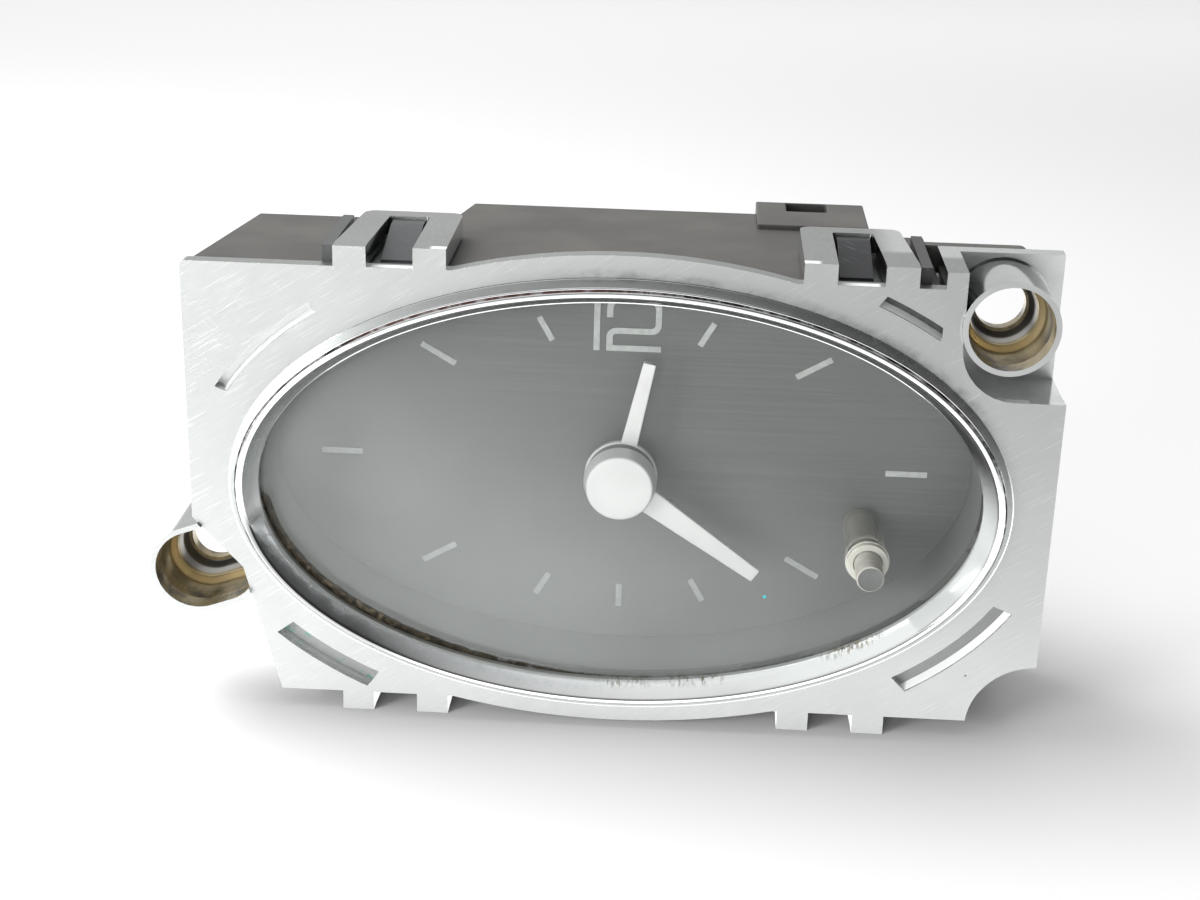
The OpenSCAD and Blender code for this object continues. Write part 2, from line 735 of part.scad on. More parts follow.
// Light box and lamps
module light_box() {
  floor_t = 1.4;
  wall = 1.4;
  floor_y = board_y - floor_t;
  sleeve = 3;
  color([0.92, 0.92, 0.9]) difference() {
    union() {
      difference() {
        oval(surround_wall, dial_back, board_y);
        oval(surround_wall - wall, dial_back - 1, floor_y);
      }
      rod(centre_at, sleeve + 1, dial_back + 0.3, board_y);
      intersection() {
        for (p = housing_screws_at) rod(p, post_r, board_y - 4, board_y);
        oval(surround_wall, dial_back, board_y);
      }
    }
    rod(centre_at, sleeve, dial_back - 1, board_y + 1);
    for (p = housing_screws_at) rod(p, housing_screw_r, board_y - 3, board_y + 1);
    for (p = lamps_at) rod(p, lamp_socket_r + 0.3, floor_y - 1, board_y + 1);
    translate([button_at[0] - switch_side / 2 - 0.3, floor_y - 1, button_at[1] - switch_side / 2 - 0.3])
      cube([switch_side + 0.6, floor_t + 2, switch_side + 0.6]);
  }
}
lamp_seat_y = board_y - 1.4;
lamp_neck_r = 1.9;
module lamps() {
  bulb_r = 2.3;
  bulb_y = dial_back + bulb_r + 0.8;
  color([0.85, 0.9, 0.8]) for (p = lamps_at) lathe(p) polygon(concat(
    [for (a = [-90:15:30]) [bulb_r * cos(a), bulb_y + bulb_r * sin(a)]],
    [[lamp_neck_r, bulb_y + bulb_r * 0.7], [lamp_neck_r, lamp_seat_y + 3], [0, lamp_seat_y + 3]]
  ));
}
module lamp_sockets() {
  flange_r = lamp_socket_r + 1.4;
  flange_h = 1.2;
  grip = 2.6;
  color([0.25, 0.25, 0.24]) for (p = lamps_at) difference() {
    union() {
      rod(p, lamp_socket_r, lamp_seat_y, side_depth);
      rod(p, flange_r, side_depth, side_depth + flange_h);
      translate([p[0] - flange_r + 1.2, side_depth, p[1] - 1])
        cube([2 * (flange_r - 1.2), flange_h + grip, 2]);
    }
    rod(p, lamp_neck_r, lamp_seat_y - 1, lamp_seat_y + 3);
  }
}

// Circuit board and what stands on it
module board_outline() polygon(box_outline(board_left, board_right, board_low, board_top, 1.5));
module circuit_board() {
  color([0.12, 0.33, 0.2]) difference() {
    slab(board_y, board_back) difference() {
      board_outline();
      cut_region(skirt_wall + housing_gap + housing_wall + 0.3);
      pocket_region(pocket_wall + housing_gap + housing_wall + 0.3);
    }
    rod(centre_at, pipe_r + 1.2, board_y - 1, board_back + 1);
    for (p = housing_screws_at) rod(p, housing_screw_r, board_y - 1, board_back + 1);
    pin_row(board_y - 1, board_back + 1);
    for (p = lamps_at) rod(p, lamp_socket_r + 0.5, board_y - 1, board_back + 1);
  }
}
parts_x = 26.6;
module driver_chip() {
  color([0.1, 0.1, 0.1]) translate([parts_x - 3, board_back, 6]) cube([6, 1.8, 8]);
}
crystal_r = 1.6;
crystal_len = 8;
capacitor_r = 3;
capacitor_h = 8;
module quartz_crystal() {
  color([0.75, 0.75, 0.74]) translate([parts_x, board_back + crystal_r, -3.5]) cylinder(r = crystal_r, h = crystal_len);
}
module capacitors() {
  low = 8.5;
  pitch = 2.5 * capacitor_r;
  color([0.16, 0.17, 0.24]) for (i = [0, 1])
    rod([parts_x, -low - i * pitch], capacitor_r, board_back, board_back + capacitor_h);
}
module resistors() {
  rows = 6;
  pitch = 4;
  color([0.12, 0.12, 0.12]) for (i = [0:rows - 1])
    translate([board_left + 5, board_back, (i - rows / 2) * pitch + 1]) cube([2, 0.6, 1.25]);
}
module pin_row(y0, y1) {
  pitch = socket_w / (pin_count + 1);
  for (i = [1:pin_count])
    block([socket_x + i * pitch - pin_t / 2, y0, pin_z - pin_t / 2],
          [socket_x + i * pitch + pin_t / 2, y1, pin_z + pin_t / 2]);
}
socket_floor = socket_depth - 8;
module connector_base() {
  color([0.1, 0.1, 0.1]) difference() {
    block([socket_x, board_back, socket_low], [socket_x + socket_w, socket_floor, socket_top]);
    pin_row(board_back - 1, socket_floor + 1);
  }
}
module connector_pins() color([0.8, 0.72, 0.45]) pin_row(board_y, socket_depth - 2);

// Gear teeth: an involute flank drawn through three radii
function involute(a) = tan(a) * 180 / PI - a;
function flank_angle(z, r) =
  let (
    pitch_r = gear_module * z / 2,
    base_r = pitch_r * cos(pressure_angle),
    half = 90 / z - tooth_backlash / 2 / pitch_r * 180 / PI,
    at = acos(min(1, base_r / r))
  )
  half + involute(pressure_angle) - involute(at);
function gear_outline(z, phase) =
  let (
    pitch_r = gear_module * z / 2,
    radii = [pitch_r - dedendum * gear_module, pitch_r, pitch_r + addendum * gear_module],
    flank = [for (r = radii) [r, flank_angle(z, r)]]
  )
  [for (i = [0:z - 1]) let (mid = phase + 360 * i / z) each concat(
    [for (k = [0:2]) polar(flank[k][0], mid - flank[k][1])],
    [for (k = [2:-1:0]) polar(flank[k][0], mid + flank[k][1])]
  )];
// Phase at which a driven wheel's gap meets a tooth of its driver, along the line between them
function mesh_phase(driver_phase, driver_z, z, dir) =
  dir + 180 + 180 / z - (driver_phase - dir) * driver_z / z;
module gear(at, z, phase, y0, y1) translate([at[0], 0, at[1]]) slab(y0, y1) polygon(gear_outline(z, phase));
motion_phase = mesh_phase(0, cannon_teeth, motion_teeth, motion_dir);
hour_phase = mesh_phase(0, motion_pinion_teeth, hour_teeth, motion_dir + 180);
third_phase = mesh_phase(0, centre_teeth, pinion_teeth, third_dir);
rotor_phase = mesh_phase(0, third_teeth, pinion_teeth, rotor_dir);
pinion_over = 0.2;
pivot_r = 0.4;
third_arbor_r = 0.6;
rotor_arbor_r = 0.55;
motion_post_r = 0.7;

// Movement
movement_left = 19.5;
movement_right = 22.2;
movement_low = 26;
movement_top = 12.6;
module movement_outline() {
  polygon(box_outline(-movement_left, movement_right, -movement_low, movement_top, 2.5));
}
module movement_front_plate() {
  color([0.82, 0.81, 0.76]) difference() {
    union() {
      slab(front_plate_y, front_plate_back) movement_outline();
      for (p = pillars) rod(p, pillar_r + 0.4, board_back, front_plate_y + skin);
      rod(motion_at, motion_post_r, front_plate_back - skin, motion_wheel_y + wheel_t + 0.2);
    }
    rod(centre_at, pipe_r + run_gap, front_plate_y - 1, front_plate_back + 1);
    rod(third_at, pivot_r + run_gap, front_plate_y - 1, front_plate_back + 1);
    rod(rotor_at, pivot_r + run_gap, front_plate_y - 1, front_plate_back + 1);
  }
}
module movement_back_plate() {
  color([0.82, 0.81, 0.76]) difference() {
    slab(back_plate_y, back_plate_back) movement_outline();
    for (at = [centre_at, third_at, rotor_at]) rod(at, pivot_r + run_gap, back_plate_y - 1, back_plate_back + 1);
    for (p = pillars) rod(p, movement_screw_r, back_plate_y - 1, back_plate_back + 1);
  }
}
module movement_pillars() {
  color([0.7, 0.7, 0.68]) for (p = pillars) difference() {
    rod(p, pillar_r, front_plate_back, back_plate_y);
    rod(p, movement_screw_r, back_plate_y - 4, back_plate_y + 1);
  }
}
module movement_screws() {
  head_h = 0.7;
  color([0.55, 0.55, 0.53]) for (p = pillars) difference() {
    union() {
      rod(p, movement_screw_r, back_plate_y - 4, back_plate_back);
      rod(p, pillar_r - 0.2, back_plate_back, back_plate_back + head_h);
    }
    translate([p[0], back_plate_back + head_h, p[1]]) cube([2 * pillar_r, 0.6, 0.4], center = true);
  }
}
module minute_arbor() {
  color([0.72, 0.7, 0.6]) {
    rod(centre_at, arbor_r, cap_y + cap_t / 2, centre_wheel_y + wheel_t + 0.3);
    rod(centre_at, pivot_r, centre_wheel_y + wheel_t + 0.2, back_plate_back - 0.2);
    gear(centre_at, cannon_teeth, 0, motion_wheel_y - pinion_over, motion_wheel_y + wheel_t + pinion_over);
  }
}
module centre_wheel() {
  spokes = 5;
  rim_in = gear_module * centre_teeth / 2 - 1.4;
  hub_r = 2.4;
  color([0.86, 0.83, 0.7]) difference() {
    gear(centre_at, centre_teeth, 0, centre_wheel_y, centre_wheel_y + wheel_t);
    rod(centre_at, arbor_r, centre_wheel_y - 1, centre_wheel_y + wheel_t + 1);
    for (i = [0:spokes - 1]) let (mid = (hub_r + rim_in) / 2)
      rod(polar(mid, 360 * i / spokes), (rim_in - hub_r) / 2 - 0.3, centre_wheel_y - 1, centre_wheel_y + wheel_t + 1);
  }
}
module hour_wheel() {
  color([0.86, 0.83, 0.7]) difference() {
    union() {
      gear(centre_at, hour_teeth, hour_phase, hour_wheel_y, hour_wheel_y + wheel_t);
      rod(centre_at, pipe_r, hour_y, hour_wheel_y + wheel_t + 0.3);
    }
    rod(centre_at, arbor_r + run_gap, hour_y - 1, hour_wheel_y + wheel_t + 1);
  }
}
module motion_wheel() {
  color([0.86, 0.83, 0.7]) difference() {
    union() {
      gear(motion_at, motion_teeth, motion_phase, motion_wheel_y, motion_wheel_y + wheel_t);
      gear(motion_at, motion_pinion_teeth, 0, hour_wheel_y - pinion_over, motion_wheel_y + skin);
    }
    rod(motion_at, motion_post_r + run_gap, hour_wheel_y - 1, motion_wheel_y + wheel_t + 1);
  }
}
module third_wheel() {
  color([0.86, 0.83, 0.7]) {
    gear(third_at, third_teeth, 0, third_wheel_y, third_wheel_y + wheel_t);
    gear(third_at, pinion_teeth, third_phase, centre_wheel_y - pinion_over, third_wheel_y + skin);
    rod(third_at, third_arbor_r, front_plate_back + 0.3, centre_wheel_y);
    rod(third_at, pivot_r, front_plate_y + 0.2, front_plate_back + 0.4);
    rod(third_at, pivot_r, third_wheel_y + wheel_t - skin, back_plate_back - 0.2);
  }
}
magnet_y = hour_wheel_y;
magnet_h = 2.5;
module rotor_pinion() {
  color([0.86, 0.83, 0.7]) {
    gear(rotor_at, pinion_teeth, rotor_phase, third_wheel_y - pinion_over, third_wheel_y + wheel_t + pinion_over);
    rod(rotor_at, rotor_arbor_r, front_plate_back + 0.3, third_wheel_y);
    rod(rotor_at, pivot_r, front_plate_y + 0.2, front_plate_back + 0.4);
    rod(rotor_at, pivot_r, third_wheel_y + wheel_t + pinion_over - skin, back_plate_back - 0.2);
  }
}
module rotor_magnet() {
  color([0.25, 0.25, 0.26]) difference() {
    rod(rotor_at, magnet_r, magnet_y, magnet_y + magnet_h);
    rod(rotor_at, rotor_arbor_r, magnet_y - 1, magnet_y + magnet_h + 1);
  }
}

// Stator and coil
stator_y = magnet_y + 0.8;
stator_t = 0.9;
bobbin_side = back_plate_y - front_plate_back;
bobbin_flange = 0.8;
core_side = 2.4;
core_over = 3;
coil_low = coil_z - coil_len / 2;
coil_high = coil_z + coil_len / 2;
module stator_arm(from, to, w) {
  d = to - from;
  translate(from) rotate(atan2(d[1], d[0])) translate([0, -w / 2]) square([norm(d), w]);
}
module stator() {
  ring_w = 2.4;
  arm_w = 3;
  bend_x = coil_x - bobbin_side / 2 - 2.2;
  past = arm_w / 2 + 0.15;
  high = coil_high + past;
  low = coil_low - past;
  color([0.5, 0.5, 0.5]) slab(stator_y, stator_y + stator_t) difference() {
    union() {
      translate(rotor_at) circle(magnet_r + air_gap + ring_w);
      stator_arm(rotor_at + [2, 3], [bend_x, high], arm_w);
      stator_arm(rotor_at + [2, -4], [bend_x, low], arm_w);
      for (z = [high, low]) stator_arm([bend_x - 1, z], [coil_x + arm_w / 2, z], arm_w);
    }
    translate(rotor_at) circle(magnet_r + air_gap);
  }
}
module coil_core() {
  core_y = stator_y + stator_t;
  color([0.55, 0.55, 0.55]) block(
    [coil_x - core_side / 2, core_y, coil_low - core_over],
    [coil_x + core_side / 2, core_y + core_side / 2, coil_high + core_over]);
}
module coil_bobbin() {
  core_y = stator_y + stator_t;
  half = bobbin_side / 2;
  color([0.2, 0.22, 0.25]) difference() {
    union() {
      for (z = [coil_low, coil_high - bobbin_flange])
        block([coil_x - half, front_plate_back, z], [coil_x + half, back_plate_y, z + bobbin_flange]);
      translate([coil_x, coil_y, coil_low]) cylinder(r = core_side * 0.8, h = coil_len);
    }
    block([coil_x - core_side / 2, core_y, coil_low - 1],
          [coil_x + core_side / 2, core_y + core_side / 2, coil_high + 1]);
  }
}
module coil_winding() {
  color([0.62, 0.32, 0.16]) difference() {
    translate([coil_x, coil_y, coil_low + bobbin_flange]) cylinder(r = coil_r, h = coil_len - 2 * bobbin_flange);
    translate([coil_x, coil_y, coil_low - 1]) cylinder(r = core_side * 0.8, h = coil_len + 2);
  }
}

bezel_frame();
bezel_ring();
lens();
dial_surround();
dial();
hour_marks();
hour_hand();
minute_hand();
hand_cap();
set_button();
switch_plunger();
switch_body();
rear_housing();
connector_shroud();
housing_screws();
light_box();
lamps();
lamp_sockets();
circuit_board();
driver_chip();
quartz_crystal();
capacitors();
resistors();
connector_base();
connector_pins();
movement_front_plate();
movement_back_plate();
movement_pillars();
movement_screws();
minute_arbor();
centre_wheel();
hour_wheel();
motion_wheel();
third_wheel();
rotor_pinion();
rotor_magnet();
stator();
coil_core();
coil_bobbin();
coil_winding();
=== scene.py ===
"""Looks of a car dashboard clock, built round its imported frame.

X runs to the right, Y runs back into the dashboard and Z runs up. Lengths are in metres.
Materials measure places in millimetres, and their noise lies on metres.
"""

import math

import bmesh
import bpy
import numpy as np
from bpy.props import FloatProperty, FloatVectorProperty, IntProperty, PointerProperty
from bpy.types import Operator, Panel, PropertyGroup
from mathutils import Matrix, Vector


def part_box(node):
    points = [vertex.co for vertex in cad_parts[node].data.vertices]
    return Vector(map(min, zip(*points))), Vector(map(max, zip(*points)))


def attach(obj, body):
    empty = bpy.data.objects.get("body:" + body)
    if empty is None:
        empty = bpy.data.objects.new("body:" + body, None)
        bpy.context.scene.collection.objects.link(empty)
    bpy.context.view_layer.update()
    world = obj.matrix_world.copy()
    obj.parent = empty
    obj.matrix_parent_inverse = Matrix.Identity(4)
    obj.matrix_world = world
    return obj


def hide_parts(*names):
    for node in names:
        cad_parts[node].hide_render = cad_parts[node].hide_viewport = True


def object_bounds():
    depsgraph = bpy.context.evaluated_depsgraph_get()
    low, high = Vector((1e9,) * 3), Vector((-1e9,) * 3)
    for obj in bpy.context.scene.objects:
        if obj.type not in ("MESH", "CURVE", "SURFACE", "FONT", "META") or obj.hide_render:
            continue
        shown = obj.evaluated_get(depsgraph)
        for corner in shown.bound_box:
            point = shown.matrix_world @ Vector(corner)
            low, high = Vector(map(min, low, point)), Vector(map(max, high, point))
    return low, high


bl_info = {
    "name": "Dashboard clock",
    "version": (1, 0, 0),
    "blender": (4, 5, 0),
    "location": "View3D > Sidebar > Clock",
    "description": "Builds the looks of a car dashboard clock round its frame",
    "category": "Object",
}

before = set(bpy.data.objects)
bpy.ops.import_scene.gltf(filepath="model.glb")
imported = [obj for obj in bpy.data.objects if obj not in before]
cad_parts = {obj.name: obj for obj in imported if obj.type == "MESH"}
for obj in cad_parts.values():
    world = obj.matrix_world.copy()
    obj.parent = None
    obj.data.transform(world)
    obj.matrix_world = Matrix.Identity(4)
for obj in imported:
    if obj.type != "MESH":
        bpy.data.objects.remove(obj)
CAD_LOW, CAD_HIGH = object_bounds()
MM = 0.001

_, RING_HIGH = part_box("bezel_ring")
LENS_LOW, LENS_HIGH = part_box("lens")
WALL_LOW, WALL_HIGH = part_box("dial_surround")
CAP_LOW, CAP_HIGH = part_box("hand_cap")
MINUTE_LOW, MINUTE_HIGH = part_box("minute_hand")
HOUR_LOW, HOUR_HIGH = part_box("hour_hand")
PIN_LOW, PIN_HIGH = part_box("set_button")

RING_WIDTH = 3.7 * MM
WINDOW_A = RING_HIGH.x - RING_WIDTH
WINDOW_B = RING_HIGH.z - RING_WIDTH
BUTTON_X = (PIN_LOW.x + PIN_HIGH.x) / 2
BUTTON_Z = (PIN_LOW.z + PIN_HIGH.z) / 2
BLUE_SPECK = (19.4 * MM, -13.1 * MM)

UPPER_BOSS = (47.4 * MM, 24.9 * MM)
LOWER_BOSS = (-54.8 * MM, -12.1 * MM)
BOSS_REACH = np.array(UPPER_BOSS) - np.array(LOWER_BOSS)
LOWER_STRETCH = 3.0 * MM * BOSS_REACH / np.linalg.norm(BOSS_REACH)
GROOVE_DEPTH = 1.4 * MM
UPPER_GROOVE_EDGE = 7.5 * MM
LOWER_GROOVE_EDGE = 9.1 * MM
CATCH_X = 28.6 * MM
RIB_X = 36.85 * MM
RIB_HALF = 0.8 * MM
RIB_END = -29.2 * MM
ARBOR_RADIUS = 0.9 * MM
PIPE_RADIUS = 1.7 * MM
MINUTE_HUB = 3.6 * MM
HOUR_HUB = 4.8 * MM
BLADE_START = 0.6 * MM

# Edges of the numeral's strokes in the CAD model and as printed, in millimetres
NUMERAL_X = np.array([-4.275, -3.325, -2.6, -1.65, 3.65, 4.6])
NUMERAL_X_PRINTED = np.array([-4.275, -3.455, -2.6, -1.76, 3.77, 4.58])
NUMERAL_Z = 15.6 + np.array([0, 0.95, 2.93, 3.88, 5.4, 6.45, 7.4])
NUMERAL_Z_PRINTED = 15.6 + np.array([0, 0.8, 2.36, 3.18, 4.55, 6.6, 7.4])
MARK_SLIMMING = 0.17

# Profiles as [distance from the window's edge or from an axis, depth, reach of the corner], in millimetres
RING_OUTSIDE = [[3.56, -0.08, 0.1], [3.7, -0.06, 0.03], [3.7, 0.0, 0.01], [2.9, 0.0, 0.02], [2.9, 1.4, 0.02]]
RING_ABOVE = [
    [0.06, 1.4, 0.01], [0.06, 1.34, 0.02], [0.22, 1.26, 0.05], [1.24, -0.03, 1.45], [1.64, -1.95, 0.24],
    [2.26, -2.0, 0.2], [2.46, -1.66, 0.06], [2.58, -1.66, 0.05], [2.72, -1.92, 0.1], [2.9, -1.86, 0.1]]
RING_BELOW = [
    [0.06, 1.4, 0.01], [0.0, 1.34, 0.02], [-0.06, 0.42, 0.04], [0.72, -0.74, 1.1], [1.66, -1.93, 0.2],
    [2.12, -1.98, 0.12], [2.2, -1.9, 0.03], [2.27, -1.8, 0.03], [2.36, -1.68, 0.03], [2.46, -1.54, 0.03]]
BORE_PROFILE = [
    [5.42, 2.2, 0.02], [5.28, 2.2, 0.02], [5.1, 6.0, 0.25], [4.3, 6.9, 0.3], [4.1, 9.4, 0.4],
    [3.5, 10.28, 0.1], [3.5, 10.4, 0.02], [5.42, 10.4, 0.02]]

CAMERA_PLACE = Vector((0.0088, -0.2319, 0.0952))
CAMERA_AHEAD = Vector((-0.0451, 0.9335, -0.3557))
CAMERA_UP = Vector((-0.0428, 0.3539, 0.9343))
SENSOR_WIDTH = 36
KEY_SIZE, KEY_PLACE = 0.34, (-0.28, 0.12, 0.44)
FILL_SIZE, FILL_PLACE = 0.22, (-0.42, -0.38, 0.11)
FRONT_SIZE, FRONT_PLACE = 0.4, (-0.15, -0.75, 0.10)
FLOOR_HALF = 3.0
FLOOR_ROWS = 9


def length(name, description, default):
    """A property that holds a length."""
    return FloatProperty(name=name, description=description, default=default, unit="LENGTH", precision=5)


def share(name, description, default):
    """A property that holds a share from 0 to 1."""
    return FloatProperty(name=name, description=description, default=default, min=0, max=1, subtype="FACTOR")


def colour(name, description, default):
    """A property that holds a linear colour."""
    return FloatVectorProperty(
        name=name, description=description, default=default, min=0, max=1, subtype="COLOR")


def turn(name, description, degrees):
    """A property that holds an angle."""
    return FloatProperty(name=name, description=description, default=math.radians(degrees), subtype="ANGLE")


def amount(name, description, default):
    """A property that holds a plain number."""
    return FloatProperty(name=name, description=description, default=default, subtype="NONE")


class PlatingSettings(PropertyGroup):
    """Plated frame and ring."""

    edge_round: length("Edge round", "Width of the rounded edges of the frame", 0.16 * MM)
    groove_lean: length("Groove lean", "How far the lower wall of a groove leans over its floor", 0.6 * MM)
    satin: colour("Satin", "Colour of the satin plating", (0.49, 0.503, 0.495))
    bright: colour("Bright", "Colour of the polished plating", (0.80, 0.81, 0.815))
    stain: colour("Stain", "Colour of the stained plating inside the bosses", (0.42, 0.34, 0.18))
    satin_rough: share("Satin roughness", "Roughness of the satin faces", 0.50)
    bright_rough: share("Bright roughness", "Roughness of the polished faces", 0.10)


class WindowSettings(PropertyGroup):
    """Clear window and what lies on it."""

    haze: share("Haze", "How much of the dial the thickest film hides", 0.115)
    film: colour("Film", "Colour of the dusty film", (0.76, 0.80, 0.78))
    grime: colour("Grime", "Colour of the grime along the lower edge", (0.105, 0.086, 0.055))


class DialSettings(PropertyGroup):
    """Dial, its wall and its marks."""

    paint: colour("Paint", "Colour of the dial", (0.172, 0.180, 0.176))
    ink: colour("Ink", "Colour of the marks", (0.60, 0.63, 0.61))


class HandSettings(PropertyGroup):
    """Hands and their cap."""

    minute_angle: turn("Minute angle", "Angle of the minute hand, clockwise from the top", 124.75)
    hour_angle: turn("Hour angle", "Angle of the hour hand, clockwise from the top", 12)
    minute_length: length("Minute length", "Length of the minute hand", 22.2 * MM)
    hour_length: length("Hour length", "Length of the hour hand", 16 * MM)
    minute_root: length("Minute root", "Width of the minute hand at the axis", 3.7 * MM)
    minute_tip: length("Minute tip", "Width of the minute hand at its tip", 1.9 * MM)
    hour_root: length("Hour root", "Width of the hour hand at the axis", 2.35 * MM)
    hour_tip: length("Hour tip", "Width of the hour hand at its tip", 1.66 * MM)
    cap_front: length("Cap front", "How far the cap stands out in front of its CAD shape", 0.9 * MM)
    paint: colour("Paint", "Colour of the hands", (0.96, 0.97, 0.96))


class HousingSettings(PropertyGroup):
    """Black mouldings at the back."""

    edge_round: length("Edge round", "Width of the rounded edges of the mouldings", 0.3 * MM)
    black: colour("Black", "Colour of the black plastic", (0.045, 0.044, 0.041))
    dust: colour("Dust", "Colour of the dust on upward faces", (0.20, 0.195, 0.18))


class StageSettings(PropertyGroup):
    """Floor, light and camera, and the fineness of the swept surfaces."""

    lens: amount("Lens", "Focal length on a 36 mm sensor", 59.10)
    floor: colour("Floor", "Colour of the floor", (0.90, 0.90, 0.90))
    floor_lift: share("Floor lift", "White added to the floor as the camera sees it", 0.03)
    floor_shine: amount("Floor shine", "White added near the clock as polished pieces show the floor", 1.15)
    key: amount("Key", "Power of the large lamp at the left, in watts", 2.2)
    fill: amount("Fill", "Power of the low lamp at the left, in watts", 2.4)
    front: amount("Front", "Power of the soft lamp in front, in watts", 3.0)
    steps: IntProperty(
        name="Steps", description="Points along one turn of a swept surface", default=288, min=24)


class ClockSettings(PropertyGroup):
    """All settings of the clock."""

    plating: PointerProperty(type=PlatingSettings)
    window: PointerProperty(type=WindowSettings)
    dial: PointerProperty(type=DialSettings)
    hands: PointerProperty(type=HandSettings)
    housing: PointerProperty(type=HousingSettings)
    stage: PointerProperty(type=StageSettings)


# Shader writing


def operation(kind, swap=False):
    """A method that adds a Math node for two values, with the other value first if swapped."""
    def method(self, other):
        pair = (other, self) if swap else (self, other)
        return self.shader.add("ShaderNodeMath", {"operation": kind}, dict(enumerate(pair)))
    return method


class Wire:
    """An output of a shader node. Arithmetic on it adds Math nodes."""

    def __init__(self, shader, socket):
        self.shader = shader
        self.socket = socket

    __add__ = operation("ADD")
    __radd__ = operation("ADD", True)
    __sub__ = operation("SUBTRACT")
    __rsub__ = operation("SUBTRACT", True)
    __mul__ = operation("MULTIPLY")
    __rmul__ = operation("MULTIPLY", True)
    __truediv__ = operation("DIVIDE")
    __pow__ = operation("POWER")
    least = operation("MINIMUM")
    most = operation("MAXIMUM")

    def __abs__(self):
        return self.shader.add("ShaderNodeMath", {"operation": "ABSOLUTE"}, {0: self})

    def root(self):
        """Square root."""
        return self.shader.add("ShaderNodeMath", {"operation": "SQRT"}, {0: self})

    def ramp(self, start, end):
        """A smooth step from 0 at start to 1 at end. It falls where end is the smaller."""
        return self.shader.add(
            "ShaderNodeMapRange", {"interpolation_type": "SMOOTHSTEP"},
            {"Value": self, "From Min": start, "From Max": end, "To Min": 0.0, "To Max": 1.0})


class Shader:
    """A material's or a world's node tree while it is written."""

    def __init__(self, owner):
        owner.use_nodes = True
        self.owner = owner
        self.tree = owner.node_tree
        self.tree.nodes.clear()
        self._seats = {}

    def add(self, kind, settings=None, sockets=None, output=0):
        """Adds a node with its settings, then the values or links of its sockets, and returns one output."""
        node = self.tree.nodes.new(kind)
        for key, value in (settings or {}).items():
            setattr(node, key, value)
        for key, value in (sockets or {}).items():
            socket = node.inputs[key]
            if isinstance(value, Wire):
                self.tree.links.new(value.socket, socket)
            else:
                socket.default_value = value
        return Wire(self, node.outputs[output]) if node.outputs else node

    def seat(self, kind):
        """Object coordinates, object normals or, for a world, directions."""
        if kind not in self._seats:
            self._seats[kind] = self.add("ShaderNodeTexCoord", output=kind)
        return self._seats[kind]

    def parts(self, vector):
        """The three parts of a vector."""
        node = self.add("ShaderNodeSeparateXYZ", None, {0: vector}).socket.node
        return tuple(Wire(self, node.outputs[i]) for i in range(3))

    def place(self):
        """X, Y and Z of the shaded point, in millimetres."""
        if "place" not in self._seats:
            self._seats["place"] = tuple(part / MM for part in self.parts(self.seat("Object")))
        return self._seats["place"]

    def facing(self):
        """X, Y and Z of the surface normal."""
        if "facing" not in self._seats:
            self._seats["facing"] = self.parts(self.seat("Normal"))
        return self._seats["facing"]

    def mapped(self, vector, **values):
        """A vector after a Mapping node."""
        return self.add("ShaderNodeMapping", {"vector_type": "POINT"}, {"Vector": vector, **values})

    def noise(self, scale, detail=4.0, roughness=0.55, turn=(0, 0, 0), stretch=(1, 1, 1), shift=(0, 0, 0)):
        """Noise on object coordinates, turned by degrees and then stretched."""
        angles = tuple(math.radians(angle) for angle in turn)
        turned = self.mapped(self.seat("Object"), Rotation=angles, Location=shift)
        stretched = self.mapped(turned, Scale=stretch)
        return self.add("ShaderNodeTexNoise", None,
                        {"Vector": stretched, "Scale": scale, "Detail": detail, "Roughness": roughness})

    def specks(self, scale, size, share, shift=(0, 0, 0)):
        """Round specks: cells of which a share holds a dot of a size given as part of a cell."""
        sockets = {"Vector": self.mapped(self.seat("Object"), Location=shift), "Scale": scale}
        near = self.add("ShaderNodeTexVoronoi", {"feature": "F1"}, sockets, "Distance")
        cell = self.add("ShaderNodeTexVoronoi", {"feature": "F1"}, sockets, "Color")
        drawn = self.parts(cell)[0].ramp(1.0 - share, 1.0 - share + 0.02)
        return near.ramp(size, size * 0.6) * drawn

    def bands(self, direction, scale, distortion, detail):
        """Parallel bands on object coordinates."""
        return self.add(
            "ShaderNodeTexWave", {"wave_type": "BANDS", "bands_direction": direction},
            {"Vector": self.seat("Object"), "Scale": scale, "Distortion": distortion, "Detail": detail}, 1)

    def tint(self, factor, first, second):
        """A colour between two colours."""
        sockets = {0: factor}
        for index, value in ((6, first), (7, second)):
            sockets[index] = value if isinstance(value, Wire) else (*value[:3], 1.0)
        return self.add("ShaderNodeMix", {"data_type": "RGBA"}, sockets, 2)

    def coats(self, base, *coats):
        """A colour under coats of a share and a colour each, the last on top."""
        for cover, tone in coats:
            base = self.tint(cover, base, tone)
        return base

    def surface(self, base, rough, relief=None, **others):
        """Puts a Principled BSDF on the output and returns the material. A relief is a height map, its
        strength and the metres of its full range. Other names use _ for a space."""
        sockets = {"Base Color": base, "Roughness": rough}
        sockets.update((key.replace("_", " "), value) for key, value in others.items())
        if relief:
            bump = dict(zip(("Height", "Strength", "Distance"), relief))
            sockets["Normal"] = self.add("ShaderNodeBump", None, bump)
        shader = self.add("ShaderNodeBsdfPrincipled", None, sockets)
        self.add("ShaderNodeOutputMaterial", None, {"Surface": shader})
        return self.owner


def new_shader(name):
    """The shader of a new material."""
    return Shader(bpy.data.materials.new(name))


def times(tone, factor):
    """A colour made lighter or darker."""
    return tuple(min(1.0, factor * part) for part in tone)


def off_axis(shader, centre):
    """Distance in millimetres from an axis along Y, whose centre is in metres."""
    x, _, z = shader.place()
    return ((x - float(centre[0]) / MM) ** 2 + (z - float(centre[1]) / MM) ** 2).root()


